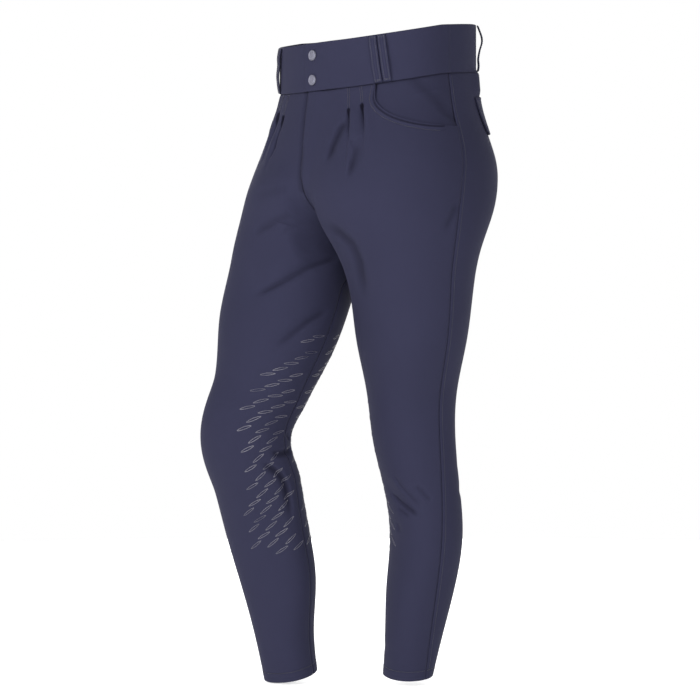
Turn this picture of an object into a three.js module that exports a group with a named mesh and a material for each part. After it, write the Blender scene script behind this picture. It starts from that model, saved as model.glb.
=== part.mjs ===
// Riding breeches, filled out as worn, with the right knee bent.
// Millimetres. +Z is up, the front faces -Y, +X is the wearer's left, and the origin is the middle of the waistband.
import * as THREE from "three";

// Driving sizes
const panelWall = 1.6;
const bandWall = 2.4;
const seamGap = 0.3;
const bandHeight = 69;
const waistSeamHeight = -34;
const outerLegLength = 889;
const frontWaistDrop = 21;
const backWaistRise = 17;
const waistTiltFade = 170;
const sectionRoundness = 2.15;
const frontValley = 26;
const backValley = 34;
const valleyFade = 90;

// Cross-sections of one leg, by the distance down from the waist seam.
// centreX and centreY place the section, and outer, inner, front and back are its four radii.
const sectionColumns = ["down", "centreX", "centreY", "outer", "inner", "front", "back"];
const sections = [
  [0, 0, 4, 157, 157, 105, 152],
  [60, 15, 3, 157, 143, 115, 150],
  [120, 38, 4, 153, 125, 128, 156],
  [180, 58, 3, 138, 105, 135, 137],
  [240, 82, 4, 116, 80, 112, 99],
  [300, 88, 3, 105, 82, 90, 84],
  [380, 87, 0, 96, 84, 76, 76],
  [460, 86, 2, 74, 70, 65, 60],
  [536, 88, 6, 69, 67, 62, 52],
  [600, 91, 9, 66, 66, 52, 53],
  [680, 92, 8, 63, 62, 42, 58],
  [760, 87, 1, 55, 55, 42, 54],
  [830, 86, -8, 46, 40, 39, 44],
  [890, 84, -16, 44, 36, 35, 35],
];

// The side seam's angle on each section, in degrees from the outer side towards the front.
const sideSeamColumns = ["down", "angle"];
const sideSeam = [
  [0, -5],
  [150, -5],
  [300, -11],
  [536, -8],
  [700, -5],
  [890, -16],
];

// The pose of each leg, in degrees, with the length that the cloth is pushed up on it.
const hipDown = 150;
const kneeDown = 536;
const hipOffset = 85;
const kneeOffset = 88;
const kneeBendReach = 75;
const hipBendStart = 70;
const hipBendEnd = 290;
const legPose = {
  left: { forward: -6.7, outward: -5.5, turn: -20, knee: 0, kneeOutward: 0, kneeTurn: 0, pushedUp: 19 },
  right: { forward: 19.6, outward: 5.2, turn: -13, knee: 32, kneeOutward: -15, kneeTurn: -2, pushedUp: -10 },
};
const blendReach = 60;

// Pleats on each front, by their distance from the centre front at the waist seam.
const pleatColumns = ["fromCentre", "drift", "ridge", "groove", "stitched", "end"];
const pleats = [
  [66, 22, 3.2, 3.4, 32, 150],
  [86, 28, 2.8, 3.2, 27, 130],
];
const pleatRidgeWidth = 8;
const pleatGrooveWidth = 3.4;
const pleatRidgeOffset = 7;

// The largest creases: from one angle and distance down to another, as width and height over the cloth.
const creaseColumns = ["side", "angle0", "down0", "angle1", "down1", "width", "height"];
const creases = [
  [-1, 160, 262, 82, 350, 11, -3],
  [-1, 152, 238, 84, 322, 17, 2.4],
  [-1, 176, 328, 112, 428, 13, -2.5],
  [-1, 118, 556, 172, 572, 11, -2.4],
  [1, 95, 588, 36, 634, 11, -2.2],
  [1, 92, 624, 12, 612, 11, -1.8],
];

const creaseFade = 25;

// Front pocket
const pocketStart = 109;
const pocketDepthAtSide = 75;
const pocketRise = 17;
const pocketCurve = 1.75;
const facingMargin = 14;

// Fly lap
const flyLapTop = 12;
const flyLapFoot = 2.5;
const flyLapTaper = 120;
const flyLapEnd = 1.5;
const flyLapRounding = 22;
const flyLength = 152;
const flyRampStart = 3;
const flyRampEnd = 28;
const flyFade = 24;

// Waistband overlap
const overlapPastCentre = 19;
const underlapPastCentre = 24;
const overlapRampStart = 29;
const overlapRampEnd = 66;

// Belt loops, by their distance from the centre front or centre back at the top edge.
const loopWidth = 12;
const loopWall = 1.5;
const loopBow = 4.5;
const loopColumns = ["name", "face", "fromCentre", "lean"];
const loops = [
  ["front_1", "front", 103.8, 9.3],
  ["front_2", "front", 117, 9.3],
  ["back_1", "back", 112, -6],
  ["back_2", "back", 125.2, -6],
];

// Back pocket flaps
const flapInnerEdge = 46;
const flapOuterEdge = 172;
const flapTopInner = 32;
const flapTopOuter = 36;
const flapHeight = 51;
const flapWall = 2.2;
const flapStandOff = 1.3;
const flapCornerRadius = 12;

// Snap caps
const snapDiameter = 15;
const snapHeight = 2.6;
const snapRimWidth = 1.6;
const snapRimHeight = 0.5;
const snapDowns = { snap_top: -51.2, snap_bottom: -16 };

// Surface finishes
const clothFinish = { color: 0x3a3a52, roughness: 0.88, metalness: 0 };
const facingFinish = { color: 0x34344b, roughness: 0.9, metalness: 0 };
const snapFinish = { color: 0xa9a9b3, roughness: 0.38, metalness: 0.85 };

const radians = Math.PI / 180;

function smoothStep(from, to, value) {
  const t = Math.min(Math.max((value - from) / (to - from), 0), 1);
  return t * t * (3 - 2 * t);
}

function mix(a, b, t) {
  return a + (b - a) * t;
}

// A natural cubic spline through each column of a table whose first column is the place.
function splineTable(rows) {
  const places = rows.map((row) => row[0]);
  const last = rows.length - 1;
  const columns = rows[0].slice(1).map((_, c) => {
    const values = rows.map((row) => row[c + 1]);
    const bends = new Array(rows.length).fill(0);
    const carry = new Array(rows.length).fill(0);
    for (let i = 1; i < last; i++) {
      const before = places[i] - places[i - 1];
      const after = places[i + 1] - places[i];
      const share = before / (before + after);
      const pivot = share * bends[i - 1] + 2;
      bends[i] = (share - 1) / pivot;
      const slopeChange = (values[i + 1] - values[i]) / after - (values[i] - values[i - 1]) / before;
      carry[i] = ((6 * slopeChange) / (before + after) - share * carry[i - 1]) / pivot;
    }
    bends[last] = 0;
    for (let i = last - 1; i >= 0; i--) {
      bends[i] = bends[i] * bends[i + 1] + carry[i];
    }
    bends[0] = 0;
    return { values, bends };
  });
  return (place) => {
    const at = Math.min(Math.max(place, places[0]), places[last]);
    let i = 0;
    while (i < last - 1 && at > places[i + 1]) {
      i += 1;
    }
    const span = places[i + 1] - places[i];
    const a = (places[i + 1] - at) / span;
    const b = (at - places[i]) / span;
    return columns.map(({ values, bends }) => {
      const straight = a * values[i] + b * values[i + 1];
      return straight + (((a * a * a - a) * bends[i] + (b * b * b - b) * bends[i + 1]) * span * span) / 6;
    });
  };
}

function named(columns, row) {
  return Object.fromEntries(columns.map((column, i) => [column, row[i]]));
}

const sectionSpline = splineTable(sections);
const sideSeamSpline = splineTable(sideSeam);

function sectionAt(down) {
  return named(sectionColumns.slice(1), sectionSpline(Math.max(down, 0)));
}

// Where the legs part: the first section whose inner side clears the middle plane.
function findCrotch() {
  let down = hipDown;
  while (sectionAt(down).centreX < sectionAt(down).inner) {
    down += 0.1;
  }
  return down;
}
const crotchDown = findCrotch();

function valleyAt(face, down) {
  const width = face === "front" ? frontValley : backValley;
  return width * (1 - smoothStep(crotchDown - valleyFade, crotchDown, down));
}

function signedPower(value, power) {
  return Math.sign(value) * Math.abs(value) ** power;
}

// A point of the plain left half at an angle, before folds and pose: 0 is the outer side and 90 degrees the front.
function sectionPoint(face, angle, down) {
  const section = sectionAt(down);
  const across = signedPower(Math.cos(angle), 2 / sectionRoundness);
  const along = signedPower(Math.sin(angle), 2 / sectionRoundness);
  const wide = section.centreX + (across > 0 ? section.outer : section.inner) * across;
  const valley = valleyAt(face, down);
  const clear = wide * wide - valley * valley;
  const x = valley > 0 ? Math.sign(clear) * Math.sqrt(Math.abs(clear)) : wide;
  const y = section.centreY - (along > 0 ? section.front : section.back) * along;
  const tilt = -(along > 0 ? frontWaistDrop : backWaistRise) * along;
  const z = waistSeamHeight - down + tilt * (1 - smoothStep(0, waistTiltFade, down));
  return new THREE.Vector3(x, y, z);
}

// The angle where a face ends: on the middle plane above the crotch, and at the inseam below it.
function endAngle(face, down) {
  const section = sectionAt(down);
  const edge = Math.hypot(seamGap / 2, valleyAt(face, down));
  const inwards = section.centreX - edge;
  const across = Math.min(inwards / (inwards > 0 ? section.inner : section.outer), 1);
  const onPlane = Math.acos(-signedPower(across, sectionRoundness / 2));
  const atInseam = Math.PI - seamGap / 2 / section.inner;
  return Math.min(onPlane, atInseam) * (face === "front" ? 1 : -1);
}

// A table of angles and lengths along a face, from the side seam to its inner edge.
const ringSteps = 160;
const ringCache = new Map();
function ringAt(face, down) {
  const place = Math.max(down, 0);
  const key = `${face} ${place.toFixed(4)}`;
  if (!ringCache.has(key)) {
    const gapAngle = (seamGap / 2 / sectionAt(place).outer) * (face === "front" ? 1 : -1);
    const start = sideSeamSpline(place)[0] * radians + gapAngle;
    const end = endAngle(face, place);
    const angles = [];
    const lengths = [0];
    let before = null;
    for (let i = 0; i <= ringSteps; i++) {
      const angle = mix(start, end, i / ringSteps);
      const point = sectionPoint(face, angle, place);
      if (before) {
        lengths.push(lengths[i - 1] + point.distanceTo(before));
      }
      angles.push(angle);
      before = point;
    }
    ringCache.set(key, { angles, lengths, total: lengths[ringSteps] });
  }
  return ringCache.get(key);
}

// The angle at a distance from the side seam, held at the ends.
function angleAlong(ring, distance) {
  let i = 0;
  while (i < ringSteps - 1 && distance > ring.lengths[i + 1]) {
    i += 1;
  }
  const share = (distance - ring.lengths[i]) / (ring.lengths[i + 1] - ring.lengths[i]);
  return mix(ring.angles[i], ring.angles[i + 1], Math.min(Math.max(share, 0), 1));
}

function bell(distance, width) {
  return Math.exp(-((distance / width) ** 2));
}

// Each pleat lies flat under its stitches, opens into a ridge beside a groove, and runs out below.
function pleatHeight(fromCentre, down) {
  let height = 0;
  for (const row of pleats) {
    const pleat = named(pleatColumns, row);
    const centre = pleat.fromCentre + (pleat.drift * down) / 100;
    const open = smoothStep(pleat.stitched - 14, pleat.stitched + 18, down);
    const fade = 1 - smoothStep(pleat.stitched + 30, pleat.end, down);
    const ridge = pleat.ridge * mix(0.25, 1, open) * bell(fromCentre - centre - pleatRidgeOffset, pleatRidgeWidth);
    const groove = pleat.groove * open * bell(fromCentre - centre, pleatGrooveWidth);
    height += (ridge - groove) * fade * smoothStep(-4, 6, down);
  }
  return height;
}

function creaseHeight(side, angle, down) {
  let height = 0;
  for (const row of creases) {
    const crease = named(creaseColumns, row);
    if (crease.side !== side) {
      continue;
    }
    const radius = sectionAt(down).front;
    const across = (angle - crease.angle0 * radians) * radius;
    const length = down - crease.down0;
    const runAcross = (crease.angle1 - crease.angle0) * radians * radius;
    const runDown = crease.down1 - crease.down0;
    const run = Math.hypot(runAcross, runDown);
    const along = (across * runAcross + length * runDown) / run;
    const beside = (across * runDown - length * runAcross) / run;
    const ends = smoothStep(-0.15, 0.35, along / run) * (1 - smoothStep(0.55, 1.1, along / run));
    height += crease.height * bell(beside, crease.width) * ends;
  }
  return height;
}

// A point of the cloth with its folds, at a distance from the side seam, still in the plain stance.
function foldedPoint(side, face, distance, down) {
  const ring = ringAt(face, down);
  const angle = angleAlong(ring, distance);
  const point = sectionPoint(face, angle, down);
  const step = 0.5;
  const sooner = sectionPoint(face, angleAlong(ring, distance - step), down);
  const later = sectionPoint(face, angleAlong(ring, distance + step), down);
  const outward = new THREE.Vector3(later.y - sooner.y, sooner.x - later.x, 0).normalize();
  if (face === "front") {
    outward.negate();
  }
  const nearestSeam = Math.min(distance, ring.total - distance);
  let height = creaseHeight(side, angle, down) * smoothStep(0, creaseFade, nearestSeam);
  if (face === "front") {
    height += pleatHeight(ring.total - distance, down);
  }
  point.addScaledVector(outward, height);
  point.x *= side;
  return point;
}

// The same point moved out along the cloth's own normal.
function liftedPoint(side, face, distance, down, lift) {
  const step = 0.6;
  const total = ringAt(face, down).total;
  const near = Math.max(distance - step, 0);
  const far = Math.min(distance + step, total);
  const above = foldedPoint(side, face, (distance / total) * ringAt(face, down - step).total, down - step);
  const below = foldedPoint(side, face, (distance / total) * ringAt(face, down + step).total, down + step);
  const across = foldedPoint(side, face, far, down).sub(foldedPoint(side, face, near, down));
  const normal = across.cross(below.sub(above)).normalize();
  const outward = side * (face === "front" ? 1 : -1);
  return foldedPoint(side, face, distance, down).addScaledVector(normal, outward * lift);
}

function turnAbout(point, pivot, axis, degrees) {
  return point.sub(pivot).applyAxisAngle(axis, degrees * radians).add(pivot);
}

const xAxis = new THREE.Vector3(1, 0, 0);
const yAxis = new THREE.Vector3(0, 1, 0);
const zAxis = new THREE.Vector3(0, 0, 1);

// Where one leg's pose takes a point: the knee bends first, then the hip.
function moveWithLeg(point, side) {
  const pose = side > 0 ? legPose.left : legPose.right;
  const down = waistSeamHeight - point.z;
  const knee = smoothStep(kneeDown - kneeBendReach, kneeDown + kneeBendReach, down);
  const hip = smoothStep(hipBendStart, hipBendEnd, down);
  const kneePivot = new THREE.Vector3(side * kneeOffset, 0, waistSeamHeight - kneeDown);
  const hipPivot = new THREE.Vector3(side * hipOffset, 0, waistSeamHeight - hipDown);
  const moved = point.clone();
  moved.z += pose.pushedUp * smoothStep(hipDown, outerLegLength, down);
  turnAbout(moved, kneePivot, zAxis, side * pose.kneeTurn * knee);
  turnAbout(moved, kneePivot, xAxis, pose.knee * knee);
  turnAbout(moved, kneePivot, yAxis, -side * pose.kneeOutward * knee);
  turnAbout(moved, hipPivot, zAxis, side * pose.turn * hip);
  turnAbout(moved, hipPivot, xAxis, -pose.forward * hip);
  turnAbout(moved, hipPivot, yAxis, -side * pose.outward * hip);
  return moved;
}

// The two legs' poses flow into each other across the middle, down to the crotch and a little below it.
function posed(point) {
  const belowCrotch = Math.max(waistSeamHeight - point.z - crotchDown, 0);
  const own = 0.5 + 0.5 * smoothStep(0, blendReach, Math.hypot(point.x, belowCrotch));
  const side = point.x < 0 ? -1 : 1;
  return moveWithLeg(point, -side).lerp(moveWithLeg(point, side), own);
}

// A closed wall over a grid of places. place(i, j) gives { side, face, distance, down, lift } of the outer skin.
function clothWall(name, finish, rows, columns, wall, place) {
  const width = columns + 1;
  const count = (rows + 1) * width;
  const positions = new Float32Array(count * 6);
  for (let i = 0; i <= rows; i++) {
    for (let j = 0; j <= columns; j++) {
      const { side, face, distance, down, lift } = place(i, j);
      const index = i * width + j;
      posed(liftedPoint(side, face, distance, down, lift)).toArray(positions, index * 3);
      posed(liftedPoint(side, face, distance, down, lift - wall)).toArray(positions, (count + index) * 3);
    }
  }
  const faces = [];
  const quad = (a, b, c, d) => faces.push(a, b, c, a, c, d);
  for (let i = 0; i < rows; i++) {
    for (let j = 0; j < columns; j++) {
      const a = i * width + j;
      quad(a, a + width, a + width + 1, a + 1);
      quad(count + a, count + a + 1, count + a + width + 1, count + a + width);
    }
  }
  for (let j = 0; j < columns; j++) {
    const bottom = rows * width + j;
    quad(j, j + 1, count + j + 1, count + j);
    quad(bottom + 1, bottom, count + bottom, count + bottom + 1);
  }
  for (let i = 0; i < rows; i++) {
    const left = i * width;
    const right = left + columns;
    quad(left + width, left, count + left, count + left + width);
    quad(right, right + width, count + right + width, count + right);
  }
  return clothMesh(name, finish, positions, faces);
}

function clothMesh(name, finish, positions, faces) {
  const corner = (k) => new THREE.Vector3().fromArray(positions, faces[k] * 3);
  let volume = 0;
  for (let k = 0; k < faces.length; k += 3) {
    volume += corner(k).dot(corner(k + 1).cross(corner(k + 2)));
  }
  if (volume < 0) {
    faces.reverse();
  }
  const geometry = new THREE.BufferGeometry();
  geometry.setAttribute("position", new THREE.BufferAttribute(positions, 3));
  geometry.setIndex(faces);
  geometry.computeVertexNormals();
  const mesh = new THREE.Mesh(geometry, new THREE.MeshStandardMaterial(finish));
  mesh.name = name;
  return mesh;
}

// Places at even steps along a few stretches, each given by its end and its number of steps.
function steppedPlaces(start, stretches) {
  const places = [start];
  for (const [end, steps] of stretches) {
    const from = places[places.length - 1];
    for (let k = 1; k <= steps; k++) {
      places.push(mix(from, end, k / steps));
    }
  }
  return places;
}

const nearCrotch = 26;
const thighCreaseEnd = 352;
const kneeTop = kneeDown - 80;
const kneeBottom = kneeDown + 90;

// The pocket edge: level at the side seam, and upright where it meets the waist seam.
function pocketEdge(fromCentre, waistLength) {
  const across = (fromCentre - pocketStart) / (waistLength - pocketStart);
  if (across <= 0) {
    return 0;
  }
  const t = Math.min(across, 1);
  const curved = (1 - (1 - t) ** pocketCurve) ** (1 / pocketCurve);
  return pocketRise + (pocketDepthAtSide - pocketRise) * curved;
}

function flyLift(fromCentre, down) {
  const across = 1 - smoothStep(flyRampStart, flyRampEnd, fromCentre);
  return (panelWall + seamGap) * across * (1 - smoothStep(flyLength, flyLength + flyFade, down));
}

// Columns of the front at the waist seam, close together at the pleats and at the pocket edge.
const frontColumns = [0, 5.5, 11, 20, 32, 45, 55, 60, 64, 67, 70, 74, 79, 83, 86, 89, 93, 100, 108, 109.2, 115, 125, 138, 155, 178, 202];
const frontTopRows = 8;
const frontTopEnd = 96;

// Rows that the front and the back share below the pocket, closer together at the crotch, the thigh creases and the knee.
const lowerRows = steppedPlaces(frontTopEnd, [
  [crotchDown - nearCrotch, 5],
  [crotchDown + nearCrotch / 2, 4],
  [thighCreaseEnd, 6],
  [kneeTop, 3],
  [kneeBottom, 7],
  [outerLegLength, 6],
]);

function frontPanel(name, side) {
  const waist = ringAt("front", 0).total;
  const rows = frontTopRows + lowerRows.length - 1;
  const columns = frontColumns.length;
  return clothWall(name, clothFinish, rows, columns, panelWall, (i, j) => {
    const atWaist = j < columns ? frontColumns[j] : waist;
    const top = Math.max(pocketEdge(atWaist, waist), seamGap / 2);
    const down = i < frontTopRows ? mix(top, frontTopEnd, i / frontTopRows) : lowerRows[i - frontTopRows];
    const even = j / columns;
    const share = mix(atWaist / waist, even, smoothStep(frontTopEnd, crotchDown, down));
    const total = ringAt("front", down).total;
    const fromCentre = share * total;
    const lift = side > 0 ? flyLift(fromCentre, down) : 0;
    return { side, face: "front", distance: total - fromCentre, down, lift };
  });
}

function backPanel(name, side) {
  const downs = [...steppedPlaces(seamGap / 2, [[frontTopEnd, 5]]), ...lowerRows.slice(1)];
  const columns = 12;
  return clothWall(name, clothFinish, downs.length - 1, columns, panelWall, (i, j) => {
    const down = downs[i];
    const distance = (ringAt("back", down).total * j) / columns;
    return { side, face: "back", distance, down, lift: 0 };
  });
}

// The facing lies under the pocket edge and fills the scoop up to the waistband.
function pocketFacing(name, side) {
  const waist = ringAt("front", 0).total;
  const across = [...frontColumns.filter((place) => place > pocketStart - facingMargin), waist];
  const rows = 8;
  return clothWall(name, facingFinish, rows, across.length - 1, panelWall, (i, j) => {
    const bottom = Math.max(pocketEdge(across[j], waist), pocketRise) + facingMargin;
    const down = mix(seamGap / 2, bottom, i / rows);
    const total = ringAt("front", down).total;
    const distance = total * (1 - across[j] / waist);
    return { side, face: "front", distance, down, lift: -panelWall - seamGap };
  });
}

// The lap lies on the right front, from the waistband to the foot of the fly, and narrows on its way down.
function flyLap(name) {
  const rows = 14;
  const columns = 2;
  return clothWall(name, clothFinish, rows, columns, panelWall, (i, j) => {
    const down = mix(seamGap / 2, flyLength, i / rows);
    const straight = mix(flyLapTop, flyLapFoot, smoothStep(0, flyLapTaper, down));
    const width = mix(flyLapEnd, straight, Math.sqrt(1 - smoothStep(flyLength - flyLapRounding, flyLength + 2, down)));
    const total = ringAt("front", down).total;
    const distance = total - (width * j) / columns;
    return { side: -1, face: "front", distance, down, lift: panelWall + seamGap };
  });
}

// A flap hangs from its upper edge and stands off a little at its lower edge.
function backFlap(name, side) {
  const rows = 5;
  const columns = 12;
  return clothWall(name, clothFinish, rows, columns, flapWall, (i, j) => {
    const fromCentre = mix(flapInnerEdge, flapOuterEdge, j / columns);
    const nearEnd = Math.min(fromCentre - flapInnerEdge, flapOuterEdge - fromCentre);
    const inset = Math.max(flapCornerRadius - nearEnd, 0);
    const corner = flapCornerRadius - Math.sqrt(flapCornerRadius ** 2 - inset ** 2);
    const top = mix(flapTopInner, flapTopOuter, j / columns);
    const down = mix(top, top + flapHeight - corner * 0.7, i / rows);
    const distance = ringAt("back", down).total - fromCentre;
    return { side, face: "back", distance, down, lift: flapWall + seamGap + (flapStandOff * i) / rows };
  });
}

// A place on the waistband, by its distance from the centre front round towards one side.
function bandPlace(side, fromFront, down, lift) {
  const front = ringAt("front", 0).total;
  if (fromFront < 0) {
    return { side: -side, face: "front", distance: front + fromFront, down, lift };
  }
  if (fromFront <= front) {
    return { side, face: "front", distance: front - fromFront, down, lift };
  }
  return { side, face: "back", distance: fromFront - front, down, lift };
}

function overlapLift(fromFront) {
  return (bandWall + seamGap) * (1 - smoothStep(overlapRampStart, overlapRampEnd, fromFront));
}

function waistband(name, side, start, liftAt) {
  const rows = 3;
  const columns = 40;
  const halfLength = ringAt("front", 0).total + ringAt("back", 0).total;
  return clothWall(name, clothFinish, rows, columns, bandWall, (i, j) => {
    const down = mix(-bandHeight, -seamGap / 2, i / rows);
    const fromFront = mix(start, halfLength, j / columns);
    return bandPlace(side, fromFront, down, liftAt(fromFront));
  });
}

// A loop is sewn down at both ends and bows off the band between them.
function beltLoop(name, side, face, fromCentre, lean) {
  const rows = 10;
  const columns = 2;
  const inset = 1;
  const total = ringAt(face, 0).total;
  return clothWall(name, clothFinish, rows, columns, loopWall, (i, j) => {
    const t = i / rows;
    const down = mix(-bandHeight + inset, -inset, t);
    const centre = fromCentre + lean * t;
    const distance = total - centre + loopWidth * (j / columns - 0.5);
    const bow = loopBow * Math.sin(Math.PI * t) ** 0.7;
    return { side, face, distance, down, lift: loopWall + seamGap + bow };
  });
}

// A domed cap with a raised rim, turned on its own axis.
function snapCap(name, down) {
  const radius = snapDiameter / 2;
  const profile = [
    [0, 0],
    [radius - 0.5, 0],
    [radius, 0.5],
    [radius, snapHeight - 0.7],
    [radius - 0.5, snapHeight],
    [radius - snapRimWidth, snapHeight],
    [radius - snapRimWidth - 0.5, snapHeight - snapRimHeight],
    [radius * 0.35, snapHeight - snapRimHeight * 0.3],
    [0, snapHeight],
  ].map(([x, y]) => new THREE.Vector2(x, y));
  const geometry = new THREE.LatheGeometry(profile, 20);
  const mesh = new THREE.Mesh(geometry, new THREE.MeshStandardMaterial(snapFinish));
  mesh.name = name;
  const lift = overlapLift(0) + seamGap;
  const { side, face, distance } = bandPlace(1, 0, down, lift);
  const seat = liftedPoint(side, face, distance, down, lift);
  const outside = liftedPoint(side, face, distance, down, lift + 10);
  const normal = outside.sub(seat).normalize();
  mesh.position.copy(posed(seat));
  mesh.quaternion.setFromUnitVectors(yAxis, normal);
  return mesh;
}

const breeches = new THREE.Group();
for (const [side, word] of [[1, "left"], [-1, "right"]]) {
  breeches.add(frontPanel(`front_${word}`, side));
  breeches.add(backPanel(`back_${word}`, side));
  breeches.add(pocketFacing(`pocket_facing_${word}`, side));
  breeches.add(backFlap(`back_flap_${word}`, side));
  for (const row of loops) {
    const loop = named(loopColumns, row);
    const name = `loop_${loop.face}_${word}_${loop.name.slice(-1)}`;
    breeches.add(beltLoop(name, side, loop.face, loop.fromCentre, loop.lean));
  }
}
breeches.add(flyLap("fly_lap"));
breeches.add(waistband("waistband_left", 1, -overlapPastCentre, overlapLift));
breeches.add(waistband("waistband_right", -1, -underlapPastCentre, () => 0));
for (const [name, down] of Object.entries(snapDowns)) {
  breeches.add(snapCap(name, down));
}

export default breeches;
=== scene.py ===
import math
import bpy
import numpy as np
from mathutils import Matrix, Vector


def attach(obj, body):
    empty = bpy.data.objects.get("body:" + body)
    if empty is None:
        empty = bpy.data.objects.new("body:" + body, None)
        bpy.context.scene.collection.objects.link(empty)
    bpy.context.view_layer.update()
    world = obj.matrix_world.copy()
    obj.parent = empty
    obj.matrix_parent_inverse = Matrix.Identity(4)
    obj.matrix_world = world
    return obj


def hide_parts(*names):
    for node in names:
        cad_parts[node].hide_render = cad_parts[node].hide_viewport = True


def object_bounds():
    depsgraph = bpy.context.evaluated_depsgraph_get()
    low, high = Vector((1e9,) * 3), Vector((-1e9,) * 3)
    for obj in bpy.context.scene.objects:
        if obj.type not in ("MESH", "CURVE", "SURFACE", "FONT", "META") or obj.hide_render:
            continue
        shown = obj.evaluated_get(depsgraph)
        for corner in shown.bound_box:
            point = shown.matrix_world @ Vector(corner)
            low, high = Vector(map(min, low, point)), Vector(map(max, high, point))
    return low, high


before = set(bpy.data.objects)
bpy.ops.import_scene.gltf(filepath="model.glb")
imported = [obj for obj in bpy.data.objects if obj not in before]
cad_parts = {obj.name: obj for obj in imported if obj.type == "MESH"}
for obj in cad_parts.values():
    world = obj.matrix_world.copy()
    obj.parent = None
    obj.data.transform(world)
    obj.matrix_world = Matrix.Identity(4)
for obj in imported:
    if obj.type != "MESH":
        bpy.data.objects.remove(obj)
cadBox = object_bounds()

bothSides = ((1, "left"), (-1, "right"))
camera = {"azimuth": 48.8, "height": -0.423, "distance": 3.8, "lens": 134.8, "sensor": 36, "shift": -0.0246}


def placed(name, data):
    item = bpy.data.objects.new(name, data)
    bpy.context.collection.objects.link(item)
    return item


# Stands the camera or a lamp round the breeches at an azimuth and an elevation, looking inwards.
def aim(item, azimuth, elevation, distance, height):
    turn, rise = math.radians(azimuth), math.radians(elevation)
    level = distance * math.cos(rise)
    item.location = (level * math.sin(turn), -level * math.cos(turn), height + distance * math.sin(rise))
    item.rotation_euler = (math.pi / 2 - rise, 0, turn)


def makeCamera():
    data = bpy.data.cameras.new("camera")
    data.lens, data.sensor_width, data.shift_x = camera["lens"], camera["sensor"], camera["shift"]
    data.clip_start, data.clip_end = 0.1, 60
    view = placed("camera", data)
    aim(view, camera["azimuth"], 0, camera["distance"], camera["height"])
    bpy.context.scene.camera = view


# The form of the garment, in millimetres. down is the distance below the waist seam.
form = {
    "waistSeam": -34, "bandHeight": 69, "legLength": 889, "frontDrop": 21, "backRise": 17, "tiltFade": 170,
    "roundness": 2.15, "valley": {"front": 26, "back": 34}, "valleyFade": 90, "crotchBelow": 150,
    # walls, the gap between two layers, half the gap at a seam, and steps round each ring of the table
    "panelWall": 1.6, "bandWall": 2.4, "gap": 0.25, "half": 0.004, "ringSteps": 320,
    # down, centre across, centre depth, outer, inner, front and back radius
    "sections": [
        [0, 0, 4, 157, 157, 105, 152], [60, 15, 3, 157, 143, 115, 150], [120, 38, 4, 153, 125, 128, 156],
        [180, 58, 3, 138, 105, 135, 137], [240, 82, 4, 116, 80, 112, 99], [300, 88, 3, 105, 82, 90, 84],
        [380, 87, 0, 96, 84, 76, 76], [460, 86, 2, 74, 70, 65, 60], [536, 88, 6, 69, 67, 62, 52],
        [600, 91, 9, 66, 66, 52, 53], [680, 92, 8, 63, 62, 42, 58], [760, 87, 1, 55, 55, 42, 54],
        [830, 86, -8, 46, 40, 39, 44], [890, 84, -16, 44, 36, 35, 35],
    ],
    "sideSeam": [[0, -5], [150, -5], [300, -11], [536, -8], [700, -5], [890, -16]],
}
stance = {
    "hipDown": 150, "kneeDown": 536, "hipOffset": 85, "kneeOffset": 88, "kneeReach": 75,
    "hipStart": 70, "hipEnd": 290, "blend": 60,
    1: {"forward": -6.7, "outward": -5.5, "turn": -20, "pushedUp": 19,
        "knee": 0, "kneeOutward": 0, "kneeTurn": 0},
    -1: {"forward": 19.6, "outward": 5.2, "turn": -13, "pushedUp": -10,
         "knee": 32, "kneeOutward": -15, "kneeTurn": -2},
}


def smooth(start, end, value):
    t = np.clip((value - start) / (end - start), 0, 1)
    return t * t * (3 - 2 * t)


def bell(distance, width):
    return np.exp(-((distance / width) ** 2))


def unit(vectors):
    return vectors / np.linalg.norm(vectors, axis=-1, keepdims=True)


# Numbers and arrays brought to one shape.
def alike(*values):
    return np.broadcast_arrays(*(np.asarray(value, float) for value in values))


# The length run at each point of a path, and the points of the path at given lengths.
def runAlong(path):
    return np.concatenate([[0], np.cumsum(np.linalg.norm(np.diff(path, axis=0), axis=1))])


def pointsAt(path, run, at):
    return np.stack([np.interp(at, run, column) for column in path.T], -1)


# Natural cubic spline through the columns of a table whose first column is the place.
def splineOf(table):
    rows = np.array(table, float)
    at, values = rows[:, 0], rows[:, 1:]
    gap = np.diff(at)
    count = len(at)
    system = np.eye(count)
    right = np.zeros_like(values)
    for i in range(1, count - 1):
        system[i, i - 1:i + 2] = gap[i - 1], 2 * (gap[i - 1] + gap[i]), gap[i]
        right[i] = 6 * ((values[i + 1] - values[i]) / gap[i] - (values[i] - values[i - 1]) / gap[i - 1])
    bends = np.linalg.solve(system, right)

    def valueAt(place):
        place = np.clip(np.asarray(place, float), at[0], at[-1])
        i = np.clip(np.searchsorted(at, place, side="right") - 1, 0, count - 2)
        span = gap[i]
        a = (at[i + 1] - place) / span
        b = 1 - a
        curve = (a ** 3 - a)[..., None] * bends[i] + (b ** 3 - b)[..., None] * bends[i + 1]
        return a[..., None] * values[i] + b[..., None] * values[i + 1] + curve * (span ** 2 / 6)[..., None]

    return valueAt


sectionAt = splineOf(form["sections"])
sideSeamAt = splineOf(form["sideSeam"])
downSteps = np.arange(0, form["legLength"] + 2.0)
parts = sectionAt(downSteps)
# The crotch is where the inner radius first falls short of the middle plane.
thigh = parts[form["crotchBelow"]:]
crotchDown = float(form["crotchBelow"] + np.argmax(thigh[:, 0] > thigh[:, 3]))


def valleyAt(face, down):
    return form["valley"][face] * (1 - smooth(crotchDown - form["valleyFade"], crotchDown, down))


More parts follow.
